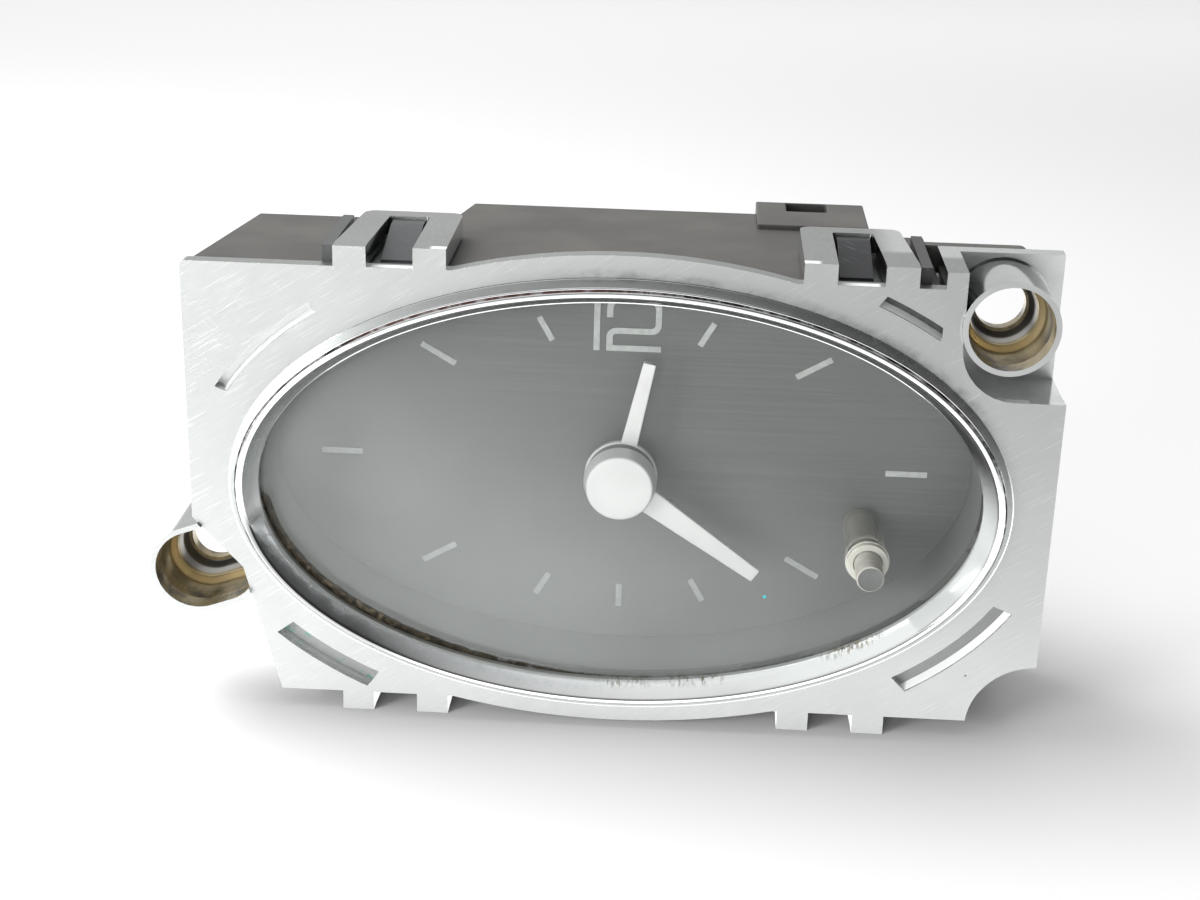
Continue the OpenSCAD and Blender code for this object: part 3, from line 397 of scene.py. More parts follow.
def off_window(shader, near):
    """How many millimetres a point lies outside the window's oval. With a and b the half axes of the oval
    that lies near outside the window, and q the point's size in units of that oval, the rest of the way is
    (q - 1) q^2 / (x^2 / a^3 + z^2 / b^3)."""
    x, _, z = shader.place()
    a = WINDOW_A / MM + near
    b = WINDOW_B / MM + near
    across = (x / a) ** 2
    along = (z / b) ** 2
    square = across + along
    return near + (square.root() - 1) * square / (across / a + along / b)


# Materials


def satin_plating(look):
    """Satin plating in front, polished on the walls and bosses, with stained bores. Dark groove floors carry
    dirt and painted shade, and light ones painted light; painted light also lies on the lower groove walls
    and the face behind the upper boss, and painted shade on the lower right.
    """
    s = new_shader("satin_plating")
    x, y, z = s.place()
    _, facing_y, facing_z = s.facing()
    front = facing_y.ramp(-0.86, -0.97)
    upper = off_axis(s, UPPER_BOSS)
    bore = upper
    for k in (0, 0.5, 1):
        bore = bore.least(off_axis(s, np.array(LOWER_BOSS) + LOWER_STRETCH * k))
    boss = upper.ramp(6.3, 6.1)
    tube = bore.ramp(6.3, 6.1)
    inside = bore.ramp(5.42, 5.32) * (1 - front)
    tops = abs(facing_z).ramp(0.55, 0.9) * abs(z).ramp(28.6, 29.2)
    satin = front.most(tops) * (1 - boss)
    lower_left = x.ramp(0, -10) * z.ramp(0, -6)

    scratch = s.noise(900, 3, 0.6, turn=(0, 32, 0), stretch=(0.18, 1, 6))
    cross = s.noise(700, 2, 0.5, turn=(0, -50, 0), stretch=(0.25, 1, 9))
    cloud = s.noise(60, 4, 0.6)
    fine = s.noise(5200, 2, 0.5)
    lines = scratch.ramp(0.55, 0.72) * 0.7 + cross.ramp(0.62, 0.76) * 0.5
    worn = scratch.ramp(0.45, 0.28)
    pit = s.specks(260, 0.06, 0.10, (0.2, 0, 0.4)) * front
    # Painted shade: the satin is darker towards the lower right.
    dull_and_painted_light = x.ramp(-10, 45) * z.ramp(-26, -8)
    # Painted light: faces set back at the right, behind the upper boss, are lighter.
    painted_light_flange = y.ramp(6, 8) * x.ramp(30, 34)

    floor = front * y.ramp(0.9, 1.2) * y.ramp(1.8, 1.6) * (1 - boss)
    rough_floor = s.noise(1500, 4, 0.7)
    # Groove floors: darker in the upper right and lower grooves, partly dirt and partly painted shade, and
    # lighter in the upper left as painted light.
    soiled_and_shaded = (z.ramp(0, 6) * x.ramp(-8, 8)).most(z.ramp(0, -6) * 0.8)
    soil_and_shade = s.tint(z.ramp(0, 6), (0.16, 0.165, 0.16), (0.06, 0.063, 0.06))
    green = s.noise(900, 4, 0.7, shift=(0.2, 0, 0.1)).ramp(0.56, 0.68) * lower_left
    out = off_window(s, 3)
    # Painted light: the lower walls of the grooves are near white and not metallic, as if light fell on them
    # from above.
    painted_light_wall = facing_z.ramp(0.15, 0.4) * y.ramp(0.08, 0.2) * y.ramp(1.5, 1.3)
    painted_light_wall = painted_light_wall * abs(out - 8.3).ramp(1.5, 1.3) * (1 - front) * (1 - tube) * (1 - lower_left * 0.85)
    # Darker mottled streaks on the plate just outside the top of the ring.
    dark_mottle = out.ramp(5.2, 3.9) * z.ramp(8, 16) * x.ramp(-14, 0)
    dark_mottle = dark_mottle * s.noise(420, 5, 0.7, turn=(0, 12, 0), stretch=(0.7, 1, 1.2)).ramp(0.38, 0.66)
    blotch = s.noise(330, 4, 0.6, shift=(0.3, 0.1, 0))

    faces = s.coats(
        look.satin,
        (cloud.ramp(0.3, 0.7) * 0.2, times(look.satin, 0.82)),
        (dull_and_painted_light * 0.8, times(look.satin, 0.84)),
        (painted_light_flange, times(look.satin, 1.5)))
    walls = s.coats(
        look.bright,
        (s.noise(180, 3).ramp(0.35, 0.7) * 0.3, (0.38, 0.38, 0.37)),
        (tube * (1 - front) * 0.7, (0.36, 0.37, 0.365)),
        (tube * front * (0.6 + 0.4 * cloud), (0.40, 0.41, 0.405)))
    base = s.coats(
        walls,
        (satin, faces),
        (lines * satin * 0.35, (0.82, 0.83, 0.83)),
        (worn * satin * 0.22, times(look.satin, 0.72)),
        # Painted shade with dirt on the darker groove floors, and painted light on the lighter ones.
        (floor * soiled_and_shaded * (0.65 + 0.35 * rough_floor), soil_and_shade),
        (floor * (1 - soiled_and_shaded) * 0.7, (0.86, 0.87, 0.865)),
        (floor * green * 0.7, (0.08, 0.40, 0.32)),
        (dark_mottle * front * 0.5, (0.17, 0.175, 0.175)),
        (pit * 0.7, (0.10, 0.098, 0.09)),
        (painted_light_wall, (0.96, 0.97, 0.97)),
        (inside * 0.9, s.tint(blotch.ramp(0.45, 0.7), look.stain, (0.09, 0.075, 0.05))))
    rough = satin * look.satin_rough + (1 - satin) * look.bright_rough + (cloud - 0.5) * 0.10
    rough = rough + lines * satin * 0.05 + inside * 0.18 + floor * soiled_and_shaded * 0.2
    height = (fine * 0.35 + lines * 0.5) * satin + 0.15 * fine + floor * rough_floor
    return s.surface(base, rough, (height, 0.4, 0.00007), Metallic=1 - inside * 0.5 - painted_light_wall)


def bright_plating(look):
    """Polished plating with faint smears, brown dirt in its crease, crumbs at the window and less metallic
    patches. The inner wall carries painted sheen at the right and low, and the crest painted shade at the
    lower left.
    """
    s = new_shader("bright_plating")
    x, y, z = s.place()
    out = off_window(s, 2)
    smear = s.noise(120, 4, 0.6)
    hair = s.noise(1500, 2, 0.5, turn=(0, 20, 0), stretch=(0.2, 1, 4)).ramp(0.6, 0.74)
    dirt = s.noise(620, 4, 0.65)
    crumb = s.noise(1900, 3, 0.7, stretch=(1.4, 0.35, 0.35)).ramp(0.49, 0.60)
    patch = abs(x - 1.5).least(abs(x - 11)).least(abs(x - 31)).ramp(5, 1.5)
    grime = out.ramp(0.9, 0.1) * y.ramp(-1.4, 0.2) * patch * z.ramp(-10, -15) * crumb
    crease = out.ramp(2.38, 2.46) * out.ramp(2.70, 2.62) * y.ramp(-1.2, -1.5)
    scuff = out.ramp(2.8, 3.0) * x.ramp(-18, 20) * z.ramp(0, 8)
    rust = s.tint(x.ramp(-4, 9).most(x.ramp(-30, -36)), (0.10, 0.05, 0.038), (0.016, 0.015, 0.014))
    shade = out.ramp(1.35, 1.6) * out.ramp(2.25, 2.0) * x.ramp(-22, -32) * z.ramp(-2, -6)
    dust = out.ramp(1.7, 0.4) * z.ramp(-2, -9) * x.ramp(6, -14)
    dust = dust * (0.35 + 0.65 * s.noise(700, 5, 0.7, stretch=(1, 0.8, 1)).ramp(0.42, 0.7))
    # Painted sheen: the inner wall is lighter and less metallic at the right and low down.
    right = out.ramp(1.7, 1.3) * z.ramp(9, -2) * x.ramp(14, 27)
    low = out.ramp(0.8, 0.3) * z.ramp(-6, -12) * x.ramp(-22, -8)
    painted_sheen = right.most(low * 0.8) * (0.55 + 0.2 * smear) * (1 - grime)
    lip = out.ramp(0.3, 0.02) * z.ramp(-2, -6) * x.ramp(25, -10)
    base = s.coats(
        look.bright,
        (smear.ramp(0.35, 0.75) * 0.18, (0.58, 0.59, 0.59)),
        (scuff * (0.25 + 0.6 * hair), (0.26, 0.265, 0.26)),
        (crease * (0.6 + 0.4 * dirt.ramp(0.35, 0.55)), rust),
        (grime * 0.9, s.tint(dirt.ramp(0.4, 0.6), (0.33, 0.25, 0.12), (0.07, 0.055, 0.03))),
        (shade * 0.7, (0.2, 0.205, 0.2)),
        (dust * 0.5, (0.40, 0.48, 0.48)),
        (painted_sheen, (0.66, 0.70, 0.69)),
        (lip * 0.75, (0.28, 0.29, 0.27)))
    # Less metal where there is grime, the lip, dust and painted sheen.
    dull_and_painted_light = (grime.most(lip) * 0.7).most(dust * 0.25).most(painted_sheen)
    rough = 0.06 + smear.ramp(0.4, 0.8) * 0.08 + hair * 0.08 + grime * 0.5 + scuff * 0.16
    rough = rough + crease * 0.3 + dust * 0.2 + lip * 0.2
    height = smear * 0.5 + hair * 0.2 + dirt * 0.1
    return s.surface(base, rough, (height, 0.14, 0.00008), Metallic=1 - dull_and_painted_light)


def stained_bore(look):
    """Plating inside a boss: dark patches near the mouth, golden stain, a pale band on the step that is a
    painted highlight, a silver band, and painted shade deep inside.
    """
    s = new_shader("stained_bore")
    _, y, _ = s.place()
    blotch = s.noise(260, 4, 0.6, shift=(0.3, 0.1, 0))
    streak = s.noise(500, 3, 0.6, stretch=(1, 0.2, 1))
    base = s.coats(
        look.stain,
        (streak.ramp(0.3, 0.7), times(look.stain, 0.66)),
        (y.ramp(6.0, 3.0) * blotch.ramp(0.38, 0.6) * 0.8, (0.075, 0.068, 0.052)),
        # Painted highlight: a pale gold band on the step.
        (y.ramp(5.9, 6.3) * y.ramp(7.4, 6.9) * 0.85, (0.90, 0.74, 0.44)),
        (y.ramp(7.6, 8.0) * 0.85, (0.50, 0.50, 0.49)),
        # Painted shade: dark deep inside the bore.
        (y.ramp(9.0, 9.4) * 0.85, (0.06, 0.056, 0.05)))
    return s.surface(base, 0.24 + 0.15 * blotch, (blotch, 0.15, 0.00006), Metallic=0.75)


def hazy_window(look):
    """Clear plastic under a dusty film that thickens to the lower left, where it is partly painted light,
    with specks, and brown grime along the lower edge that is partly painted shadow. The part of its cover
    that is only gloss has a black base."""
    s = new_shader("hazy_window")
    x, y, z = s.place()
    out = off_window(s, -0.5)
    cloud = s.noise(45, 4, 0.6)
    wipe = s.noise(420, 3, 0.6, stretch=(0.12, 1, 3))
    dirt = s.noise(520, 5, 0.65)
    crumb = s.noise(1500, 3, 0.6, shift=(0.2, 0, 0.1))
    gleam = s.add("ShaderNodeFresnel", None, {"IOR": 1.49}) * 0.6
    left = x.ramp(2, -38)
    front = y.ramp(3.0, 1.6)
    # The film thickens to the lower left: partly dust, and partly painted light that makes the dial lighter
    # there.
    thick = (x * -0.6 - z).ramp(-26, 26) + 0.28 * z.ramp(-2, -18)
    # Along the lower edge: brown grime, strongest at the lower left, and painted shadow of the window's edge
    # along the whole bottom.
    band = (out + 0.65 + 0.85 * left).ramp(0, 0.6) * z.ramp(2, -8)
    grime = band * (0.16 + 0.58 * left) * (0.4 + 0.6 * dirt.ramp(0.35, 0.6))
    grime = grime * (0.6 + 0.4 * crumb.ramp(0.4, 0.6))
    lint = s.specks(210, 0.055, 0.16) * (0.4 + 0.6 * cloud)
    soot = s.specks(120, 0.05, 0.07, (0.33, 0, 0.21)) * left
    blue = off_axis(s, BLUE_SPECK).ramp(0.30, 0.18)
    collar = off_axis(s, (BUTTON_X, BUTTON_Z)).ramp(2.95, 2.75)
    film = 0.011 + look.haze * thick * (0.85 + 0.3 * cloud.ramp(0.3, 0.7)) + 0.01 * wipe
    cover = film + collar * 0.4
    alpha = film + gleam + collar * (0.2 + 0.3 * front)
    alpha = alpha + grime.most(lint * 0.4).most(soot * 0.75).most(blue * 0.8) * front
    base = s.coats(
        (0, 0, 0),
        (cover / (cover + gleam), look.film),
        (grime.ramp(0.02, 0.2), s.tint(crumb.ramp(0.45, 0.62), (0.032, 0.027, 0.018), look.grime)),
        (collar * 0.8, (0.80, 0.79, 0.70)),
        (lint, (0.85, 0.86, 0.85)),
        (soot, (0.03, 0.028, 0.025)),
        (blue, (0.02, 0.42, 0.48)))
    return s.surface(base, 0.14 + grime * 0.5 + cloud * 0.06, (grime, 0.2, 0.00012),
                     Alpha=alpha.least(0.97), IOR=1.49)


def brushed_dial(look):
    """Grey dial paint with fine level brush lines."""
    s = new_shader("brushed_dial")
    brush = s.noise(1100, 3, 0.6, stretch=(0.03, 1, 2.2))
    base = s.coats(
        times(look.paint, 0.92),
        (brush.ramp(0.3, 0.7), times(look.paint, 1.08)),
        (s.noise(40, 3, 0.5) * 0.2, times(look.paint, 1.2)),
        (s.specks(330, 0.06, 0.05, (0.1, 0, 0.2)) * 0.35, (0.5, 0.5, 0.5)))
    return s.surface(base, 0.46 + 0.1 * brush, (brush, 0.05, 0.00003), Metallic=0.2)


def dial_wall_paint(look):
    """The dial's grey on the moulded wall round the dial, lightened as painted light, and darker at its foot
    and rim as painted shade.
    """
    s = new_shader("dial_wall_paint")
    _, y, _ = s.place()
    grain = s.noise(2400, 3, 0.6)
    near, far = WALL_LOW.y / MM, WALL_HIGH.y / MM
    base = s.coats(
        # Painted light: the wall is much lighter than the dial, as though no shade fell on it.
        times(look.paint, 1.75),
        (grain * 0.4, times(look.paint, 1.95)),
        # Painted shade where the wall meets the dial and along its front rim.
        (y.ramp(far - 0.9, far) * 0.2, times(look.paint, 0.9)),
        (y.ramp(near + 0.5, near + 0.1) * (0.3 + 0.4 * grain), (0.10, 0.094, 0.08)))
    return s.surface(base, 0.5 + 0.1 * grain, (grain, 0.12, 0.00004))


def mark_ink(look):
    """Pale printed ink, a little uneven."""
    s = new_shader("mark_ink")
    uneven = s.noise(1300, 3, 0.6)
    base = s.tint(uneven.ramp(0.3, 0.7), times(look.ink, 0.82), look.ink)
    return s.surface(base, 0.45 + 0.1 * uneven, (uneven, 0.1, 0.00003))


def hand_paint(look):
    """Silvery white paint with a fine flake. The turned edge of the cap is greyer, as painted shade."""
    s = new_shader("hand_paint")
    _, y, _ = s.place()
    flake = s.noise(6000, 2, 0.5)
    cloud = s.noise(200, 3, 0.5)
    back = CAP_HIGH.y / MM
    # Painted shade: the cap's turned edge is greyer.
    rim = off_axis(s, (0, 0)).ramp(4.2, 4.34) * y.ramp(back, back - 0.1)
    base = s.coats(
        look.paint,
        (cloud.ramp(0.3, 0.75), times(look.paint, 0.92)),
        (flake.ramp(0.55, 0.75) * 0.2, (0.95, 0.95, 0.95)),
        (rim, (0.86, 0.89, 0.885)))
    return s.surface(base, 0.34 + 0.1 * cloud, (flake, 0.08, 0.00003), Metallic=0.12)


def hour_hub_paint(look):
    """White on the hour hand, and smoky grey on its hub, whose rim stays pale as a painted highlight."""
    s = new_shader("hour_hub_paint")
    flake = s.noise(6000, 2, 0.5)
    cloud = s.noise(200, 3, 0.5)
    # The hub's rim keeps the white paint as a painted highlight.
    hub = off_axis(s, (0, 0)).ramp(4.62, 4.5)
    base = s.coats(
        look.paint, (cloud.ramp(0.3, 0.75), times(look.paint, 0.9)), (hub, (0.20, 0.215, 0.21)))
    return s.surface(base, 0.3 + 0.1 * cloud, (flake, 0.08, 0.00003), Metallic=0.12)


def smoky_pin():
    """Smoky plastic, darker on its flat end, and clearer behind the window, where a lighter colour is painted
    light.
    """
    s = new_shader("smoky_pin")
    _, facing_y, _ = s.facing()
    _, y, _ = s.place()
    ring = s.noise(900, 3, 0.6, stretch=(0.6, 2.5, 0.6))
    end = facing_y.ramp(-0.75, -0.97)
    base = s.coats(
        (0.54, 0.53, 0.48),
        (ring.ramp(0.3, 0.7), (0.40, 0.39, 0.35)),
        # Painted light: the part behind the window is much lighter, in place of the light it would get
        # through the window.
        (y.ramp(0, 4), (0.80, 0.81, 0.77)),
        (end, s.tint(ring, (0.085, 0.092, 0.087), (0.13, 0.138, 0.132))))
    clear = 0.5 * y.ramp(2.4, 4) * (1 - end)
    return s.surface(base, 0.26 + 0.14 * ring, (ring, 0.12, 0.00006),
                     Coat_Weight=0.25 * end, IOR=1.5, Alpha=1 - clear)


def black_moulding(look):
    """Black plastic with a fine moulded grain, dust on upward faces, and rubbed catches and ribs, in painted
    shade at the right and painted light at the left.
    """
    s = new_shader("black_moulding")
    x, y, z = s.place()
    _, _, facing_z = s.facing()
    grain = s.noise(3800, 3, 0.6)
    cloud = s.noise(70, 4, 0.6)
    rub = s.noise(700, 3, 0.6, turn=(0, 0, 40), stretch=(0.25, 3, 1)).ramp(0.58, 0.74)
    catch = abs(abs(x) - CATCH_X / MM).ramp(3.6, 3.4) * y.ramp(16.4, 16)
    rib = abs(abs(x) - RIB_X / MM).ramp(0.9, 0.8) * y.ramp(18, 17)
    shut = catch.most(rib * 0.7) * abs(z).ramp(27, 28)
    dusty = facing_z.ramp(0.5, 0.95) * (0.22 + 0.3 * cloud.ramp(0.3, 0.75)) * (1 - shut)
    # Painted shade and light: catches and ribs are darker at the right and lighter at the left.
    shade = s.tint(x.ramp(1, -1), (0.018, 0.019, 0.021), (0.075, 0.08, 0.082))
    base = s.coats(
        times(look.black, 0.85),
        (grain.ramp(0.3, 0.7), times(look.black, 1.2)),
        (dusty, look.dust),
        (shut, s.tint(rub * 0.5, shade, (0.16, 0.17, 0.175))),
        (rub * 0.15 * (1 - shut), times(look.black, 2.2)))
    rough = 0.46 + 0.12 * cloud + 0.1 * grain - shut * 0.2
    return s.surface(base, rough, (grain, 0.18, 0.00005))


def moulded(name, tone, rough):
    """Plain moulded plastic with a fine grain and slight shading from place to place."""
    s = new_shader(name)
    grain = s.noise(3200, 3, 0.6)
    cloud = s.noise(90, 3, 0.5)
    base = s.coats(tone, (cloud.ramp(0.3, 0.7), times(tone, 0.86)), (grain * 0.3, times(tone, 1.12)))
    return s.surface(base, rough + 0.1 * grain, (grain, 0.12, 0.00004))


def worked_metal(name, tone, rough):
    """Metal with turning or rolling lines and dull patches."""
    s = new_shader(name)
    lines = s.noise(2600, 3, 0.6, stretch=(1, 0.15, 1))
    base = s.tint(s.noise(260, 3, 0.5).ramp(0.35, 0.7) * 0.4, tone, times(tone, 0.7))
    return s.surface(base, rough + 0.12 * lines, (lines, 0.12, 0.00003), Metallic=1.0)


def circuit_laminate():
    """Green lacquer over copper tracks."""
    s = new_shader("circuit_laminate")
    track = s.bands("X", 110.0, 3.5, 2.0).ramp(0.62, 0.72)
    weave = s.noise(4200, 2, 0.5)
    base = s.coats((0.03, 0.14, 0.06), (track, (0.07, 0.25, 0.10)), (weave * 0.2, (0.05, 0.20, 0.09)))
    return s.surface(base, 0.34 + 0.1 * weave, (track, 0.2, 0.00004))


def wound_copper():
    """Enamelled copper wire in close turns."""
    s = new_shader("wound_copper")
    turns = s.bands("Z", 900.0, 0.4, 1.0)
    base = s.tint(turns, (0.20, 0.07, 0.025), (0.62, 0.26, 0.10))
    return s.surface(base, 0.32 + 0.15 * turns, (turns, 0.5, 0.00006), Metallic=0.8)


def bulb_glass():
    """Clear bulb glass with a faint smoky patch."""
    s = new_shader("bulb_glass")
    dark_mottle = s.noise(400, 3, 0.5)
    base = s.tint(dark_mottle.ramp(0.4, 0.7), (0.85, 0.9, 0.82), (0.5, 0.52, 0.48))
    return s.surface(base, 0.06 + 0.05 * dark_mottle, Alpha=0.35 + 0.2 * dark_mottle, IOR=1.5)


# Surfaces


def rounded_profile(corners, steps=6):
    """Points along an outline of [x, y, r] corners: each corner is a quadratic curve that leaves the straight
    r before the corner and joins the next r after it."""
    corners = np.asarray(corners, float)
    here = corners[:, :2]
    before = np.roll(here, 1, axis=0) - here
    after = np.roll(here, -1, axis=0) - here
    before /= np.linalg.norm(before, axis=1, keepdims=True)
    after /= np.linalg.norm(after, axis=1, keepdims=True)
    reach = corners[:, 2:3]
    t = np.linspace(0, 1, steps)[None, :, None]
    start = (here + before * reach)[:, None, :]
    end = (here + after * reach)[:, None, :]
    curve = (1 - t) ** 2 * start + 2 * t * (1 - t) * here[:, None, :] + t ** 2 * end
    points = curve.reshape(-1, 2)
    step = np.linalg.norm(points - np.roll(points, 1, axis=0), axis=1)
    return points[step > 1e-7]


def grid_faces(rows, columns, wrap_rows=True, wrap_columns=True, first=0):
    """Quads of a grid of points, counted row by row, closed round where wanted."""
    i = np.arange(rows if wrap_rows else rows - 1)[:, None]
    j = np.arange(columns if wrap_columns else columns - 1)[None, :]
    a = i * columns + j
    b = i * columns + (j + 1) % columns
    c = ((i + 1) % rows) * columns + (j + 1) % columns
    d = ((i + 1) % rows) * columns + j
    return np.stack([a, b, c, d], axis=-1).reshape(-1, 4) + first


def mesh_object(name, points, faces, clean):
    """A new smooth object whose mesh has these points and faces, after clean has worked on it."""
    mesh = bpy.data.meshes.new(name)
    mesh.from_pydata(points.tolist(), [], faces.tolist())
    work = bmesh.new()
    work.from_mesh(mesh)
    clean(work)
    work.to_mesh(mesh)
    work.free()
    mesh.polygons.foreach_set("use_smooth", np.ones(len(mesh.polygons), bool))
    made = bpy.data.objects.new(name, mesh)
    bpy.context.scene.collection.objects.link(made)
    return made


def finish_mesh(name, points, faces):
    """A new object from points and faces, with doubles merged and normals outward."""
    def clean(work):
        bmesh.ops.remove_doubles(work, verts=work.verts, dist=1e-7)
        bmesh.ops.dissolve_degenerate(work, edges=work.edges, dist=1e-8)
        bmesh.ops.recalc_face_normals(work, faces=work.faces)
    made = mesh_object(name, points, faces, clean)
    made.data.set_sharp_from_angle(angle=math.radians(32))
    return made


def around(count):
    """Angles of one full turn."""
    return np.linspace(0, 2 * math.pi, count, endpoint=False)


def oval_sweep(name, profile, count, below=None):
    """A closed profile of [distance outside the window, depth] carried round the window: at angle t the
    point (o, y) lies at ((a + o) cos t, y, (b + o) sin t). Where sin t falls from 0.75 to -0.45 the profile
    changes to the one below, by h^2 (3 - 2 h) with h the share of the way back up."""
    t = around(count)[:, None, None]
    below = profile if below is None else below
    h = np.clip((np.sin(t) + 0.45) / 1.2, 0, 1)
    o, y = np.moveaxis(below + h ** 2 * (3 - 2 * h) * (profile - below), -1, 0)
    t = t[:, :, 0]
    points = np.stack([(WINDOW_A + o) * np.cos(t), y, (WINDOW_B + o) * np.sin(t)], axis=-1)
    return finish_mesh(name, points.reshape(-1, 3), grid_faces(count, len(profile)))


def turned_points(centre, radius, depth, t):
    """Points at (r cos t, y, r sin t) from an axis along Y, for columns of angles t and rows of r and y."""
    x = centre[0] + radius * np.cos(t)
    z = centre[1] + radius * np.sin(t)
    return np.stack([x, np.broadcast_to(depth, x.shape), z], axis=-1).reshape(-1, 3)


def turned(name, centre, profile, count=96):
    """A profile of [radius, depth] turned about an axis along Y, closed round the profile."""
    points = turned_points(centre, profile[:, 0], profile[:, 1], around(count)[:, None])
    return finish_mesh(name, points, grid_faces(count, len(profile)))


def blade_points(angle, reach, root, tip, low, high, edge=0.18 * MM, rows=24, sides=28):
    """A tapered bar: at distance s from the axis its section is a rounded box of width w(s), linear from
    root to tip, drawn as the curve |u|^n + |v|^n = 1. Rows shrunk to nothing close its two ends."""
    s = np.concatenate([[0, 0], np.linspace(0, reach - edge, rows), [reach - 0.3 * edge, reach, reach]])
    shrink = np.concatenate([[0, 1], np.ones(rows), [0.97, 0.86, 0]])[:, None]
    width = (root + (tip - root) * s / reach)[:, None] / 2
    thick = (high - low) / 2
    t = around(sides)[None, :]
    power = 2 / 9
    u = np.sign(np.cos(t)) * np.abs(np.cos(t)) ** power * width * shrink
    v = np.sign(np.sin(t)) * np.abs(np.sin(t)) ** power * thick * shrink
    along = np.broadcast_to(s[:, None], u.shape)
    x = along * math.sin(angle) + u * math.cos(angle)
    z = along * math.cos(angle) - u * math.sin(angle)
    y = (low + high) / 2 + v
    return np.stack([x, y, z], axis=-1).reshape(-1, 3), grid_faces(len(s), sides, False, True)


def bore_points(centre, stretch, profile, count, first=0):
    """A profile of [radius, depth] carried round a slot: (r cos t, y, r sin t) from the centre, and for the
    half turn about the stretch's direction the centre moves on by the stretch."""
    lean = math.atan2(stretch[1], stretch[0])
    t = lean - math.pi / 2 + np.linspace(0, math.pi, count // 2)
    t = np.concatenate([t, t + math.pi])[:, None]
    ahead = (np.arange(len(t)) < count // 2)[:, None]
    moving = (centre[0] + stretch[0] * ahead, centre[1] + stretch[1] * ahead)
    points = turned_points(moving, profile[:, 0], profile[:, 1], t)
    return points, grid_faces(len(t), len(profile), first=first)


def packed_points(node):
    """A CAD node's points, with those that coincide merged, and its triangles."""
    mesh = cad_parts[node].data
    mesh.calc_loop_triangles()
    points = np.empty(len(mesh.vertices) * 3, np.float32)
    mesh.vertices.foreach_get("co", points)
    faces = np.empty(len(mesh.loop_triangles) * 3, np.int32)
    mesh.loop_triangles.foreach_get("vertices", faces)
    keys = np.round(points.reshape(-1, 3) / 1e-6).astype(np.int64)
    _, first, place = np.unique(keys, axis=0, return_index=True, return_inverse=True)
    faces = place.ravel()[faces].reshape(-1, 3)
    whole = (faces[:, 0] != faces[:, 1]) & (faces[:, 1] != faces[:, 2]) & (faces[:, 2] != faces[:, 0])
    return points.reshape(-1, 3)[first].astype(float), faces[whole]


def edged_copy(node, name, edge, reshape, segments=2):
    """A merged and reshaped copy of a CAD node with its flat faces joined up and its sharp edges rounded."""
    def clean(work):
        bmesh.ops.dissolve_limit(
            work, angle_limit=math.radians(0.6), verts=work.verts, edges=work.edges, delimit={"NORMAL"})
    points, faces = packed_points(node)
    made = mesh_object(name, reshape(points), faces, clean)
    made.data.set_sharp_from_angle(angle=math.radians(40))
    bevel = made.modifiers.new("edges", "BEVEL")
    bevel.width = edge
    bevel.segments = segments
    bevel.limit_method = "ANGLE"
    bevel.angle_limit = math.radians(28)
    bevel.miter_outer = "MITER_ARC"
    bevel.harden_normals = False
    weighted = made.modifiers.new("normals", "WEIGHTED_NORMAL")
    weighted.keep_sharp = True
    return made


def lean_groove_walls(points, lean):
    """Floor points on the lower edge of a groove move towards its middle, so that the wall slopes to the
    light."""
    x, y, z = points.T
    floor = np.abs(y - GROOVE_DEPTH) < 0.02 * MM
    for out, side, step in ((UPPER_GROOVE_EDGE, z > 0, lean), (LOWER_GROOVE_EDGE, z < 0, -lean)):
        a, b = WINDOW_A + out, WINDOW_B + out
        on = np.abs((x / a) ** 2 + (z / b) ** 2 - 1) < 0.004
        moved = floor & side & on
        points[moved, 0] *= (a + step) / a
        points[moved, 2] *= (b + step) / b
    return points


def print_marks(points):
    """Thinner strokes, and a lower waist on the numeral."""
    x, y, z = points.T / MM
    numeral = (np.abs(x) < 5) & (z > NUMERAL_Z[0] - 0.1)
    hour = np.round(np.arctan2(x, z) / (math.pi / 6)) * (math.pi / 6)
    aside = MARK_SLIMMING * (x * np.cos(hour) - z * np.sin(hour))
    printed_x = np.where(numeral, np.interp(x, NUMERAL_X, NUMERAL_X_PRINTED), x - aside * np.cos(hour))
    printed_z = np.where(numeral, np.interp(z, NUMERAL_Z, NUMERAL_Z_PRINTED), z + aside * np.sin(hour))
    return np.stack([printed_x, y, printed_z], axis=-1) * MM


def trim_lower_ribs(points):
    """The guide ribs under the frame stop just below the plate's lower edge."""
    x, _, z = points.T
    rib = (np.abs(np.abs(x) - RIB_X) < RIB_HALF) & (z < RIB_END)
    points[rib, 2] = RIB_END
    return points


def dress(piece, material, slot, body, *nodes):
    """Gives a piece its material and the body it rides on, and hides the nodes it stands for. The slot is not
    used.
    """
    piece.data.materials.append(material)
    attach(piece, body)
    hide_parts(*nodes)


def paint_nodes(material, *nodes):
    """Gives CAD nodes that keep their own shape a material."""
    for node in nodes:
        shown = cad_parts[node]
        if not shown.material_slots:
            shown.data.materials.append(material)
        for place in shown.material_slots:
            place.material = material


# Operators


class CLOCK_OT_frame(Operator):
    """Plated frame with its loops, grooves and screw bosses."""

    bl_idname = "clock.frame"
    bl_label = "Plated frame"

    def execute(self, context):
        look = context.scene.clock.plating
        piece = edged_copy("bezel_frame", "plated_frame", look.edge_round,
                           lambda points: lean_groove_walls(points, look.groove_lean))
        dress(piece, satin_plating(look), "satin_plating", "case", "bezel_frame")
        self.liner(look)
        return {"FINISHED"}

    @staticmethod
    def liner(look):
        """The stepped and stained insides of the two bosses."""
        profile = rounded_profile(np.array(BORE_PROFILE) * MM)
        upper, upper_faces = bore_points(UPPER_BOSS, (1e-9, 0), profile, 96)
        lower, lower_faces = bore_points(LOWER_BOSS, LOWER_STRETCH, profile, 96, len(upper))
        points = np.concatenate([upper, lower])
        piece = finish_mesh("boss_liners", points, np.concatenate([upper_faces, lower_faces]))
        piece.data.materials.append(stained_bore(look))
        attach(piece, "case")


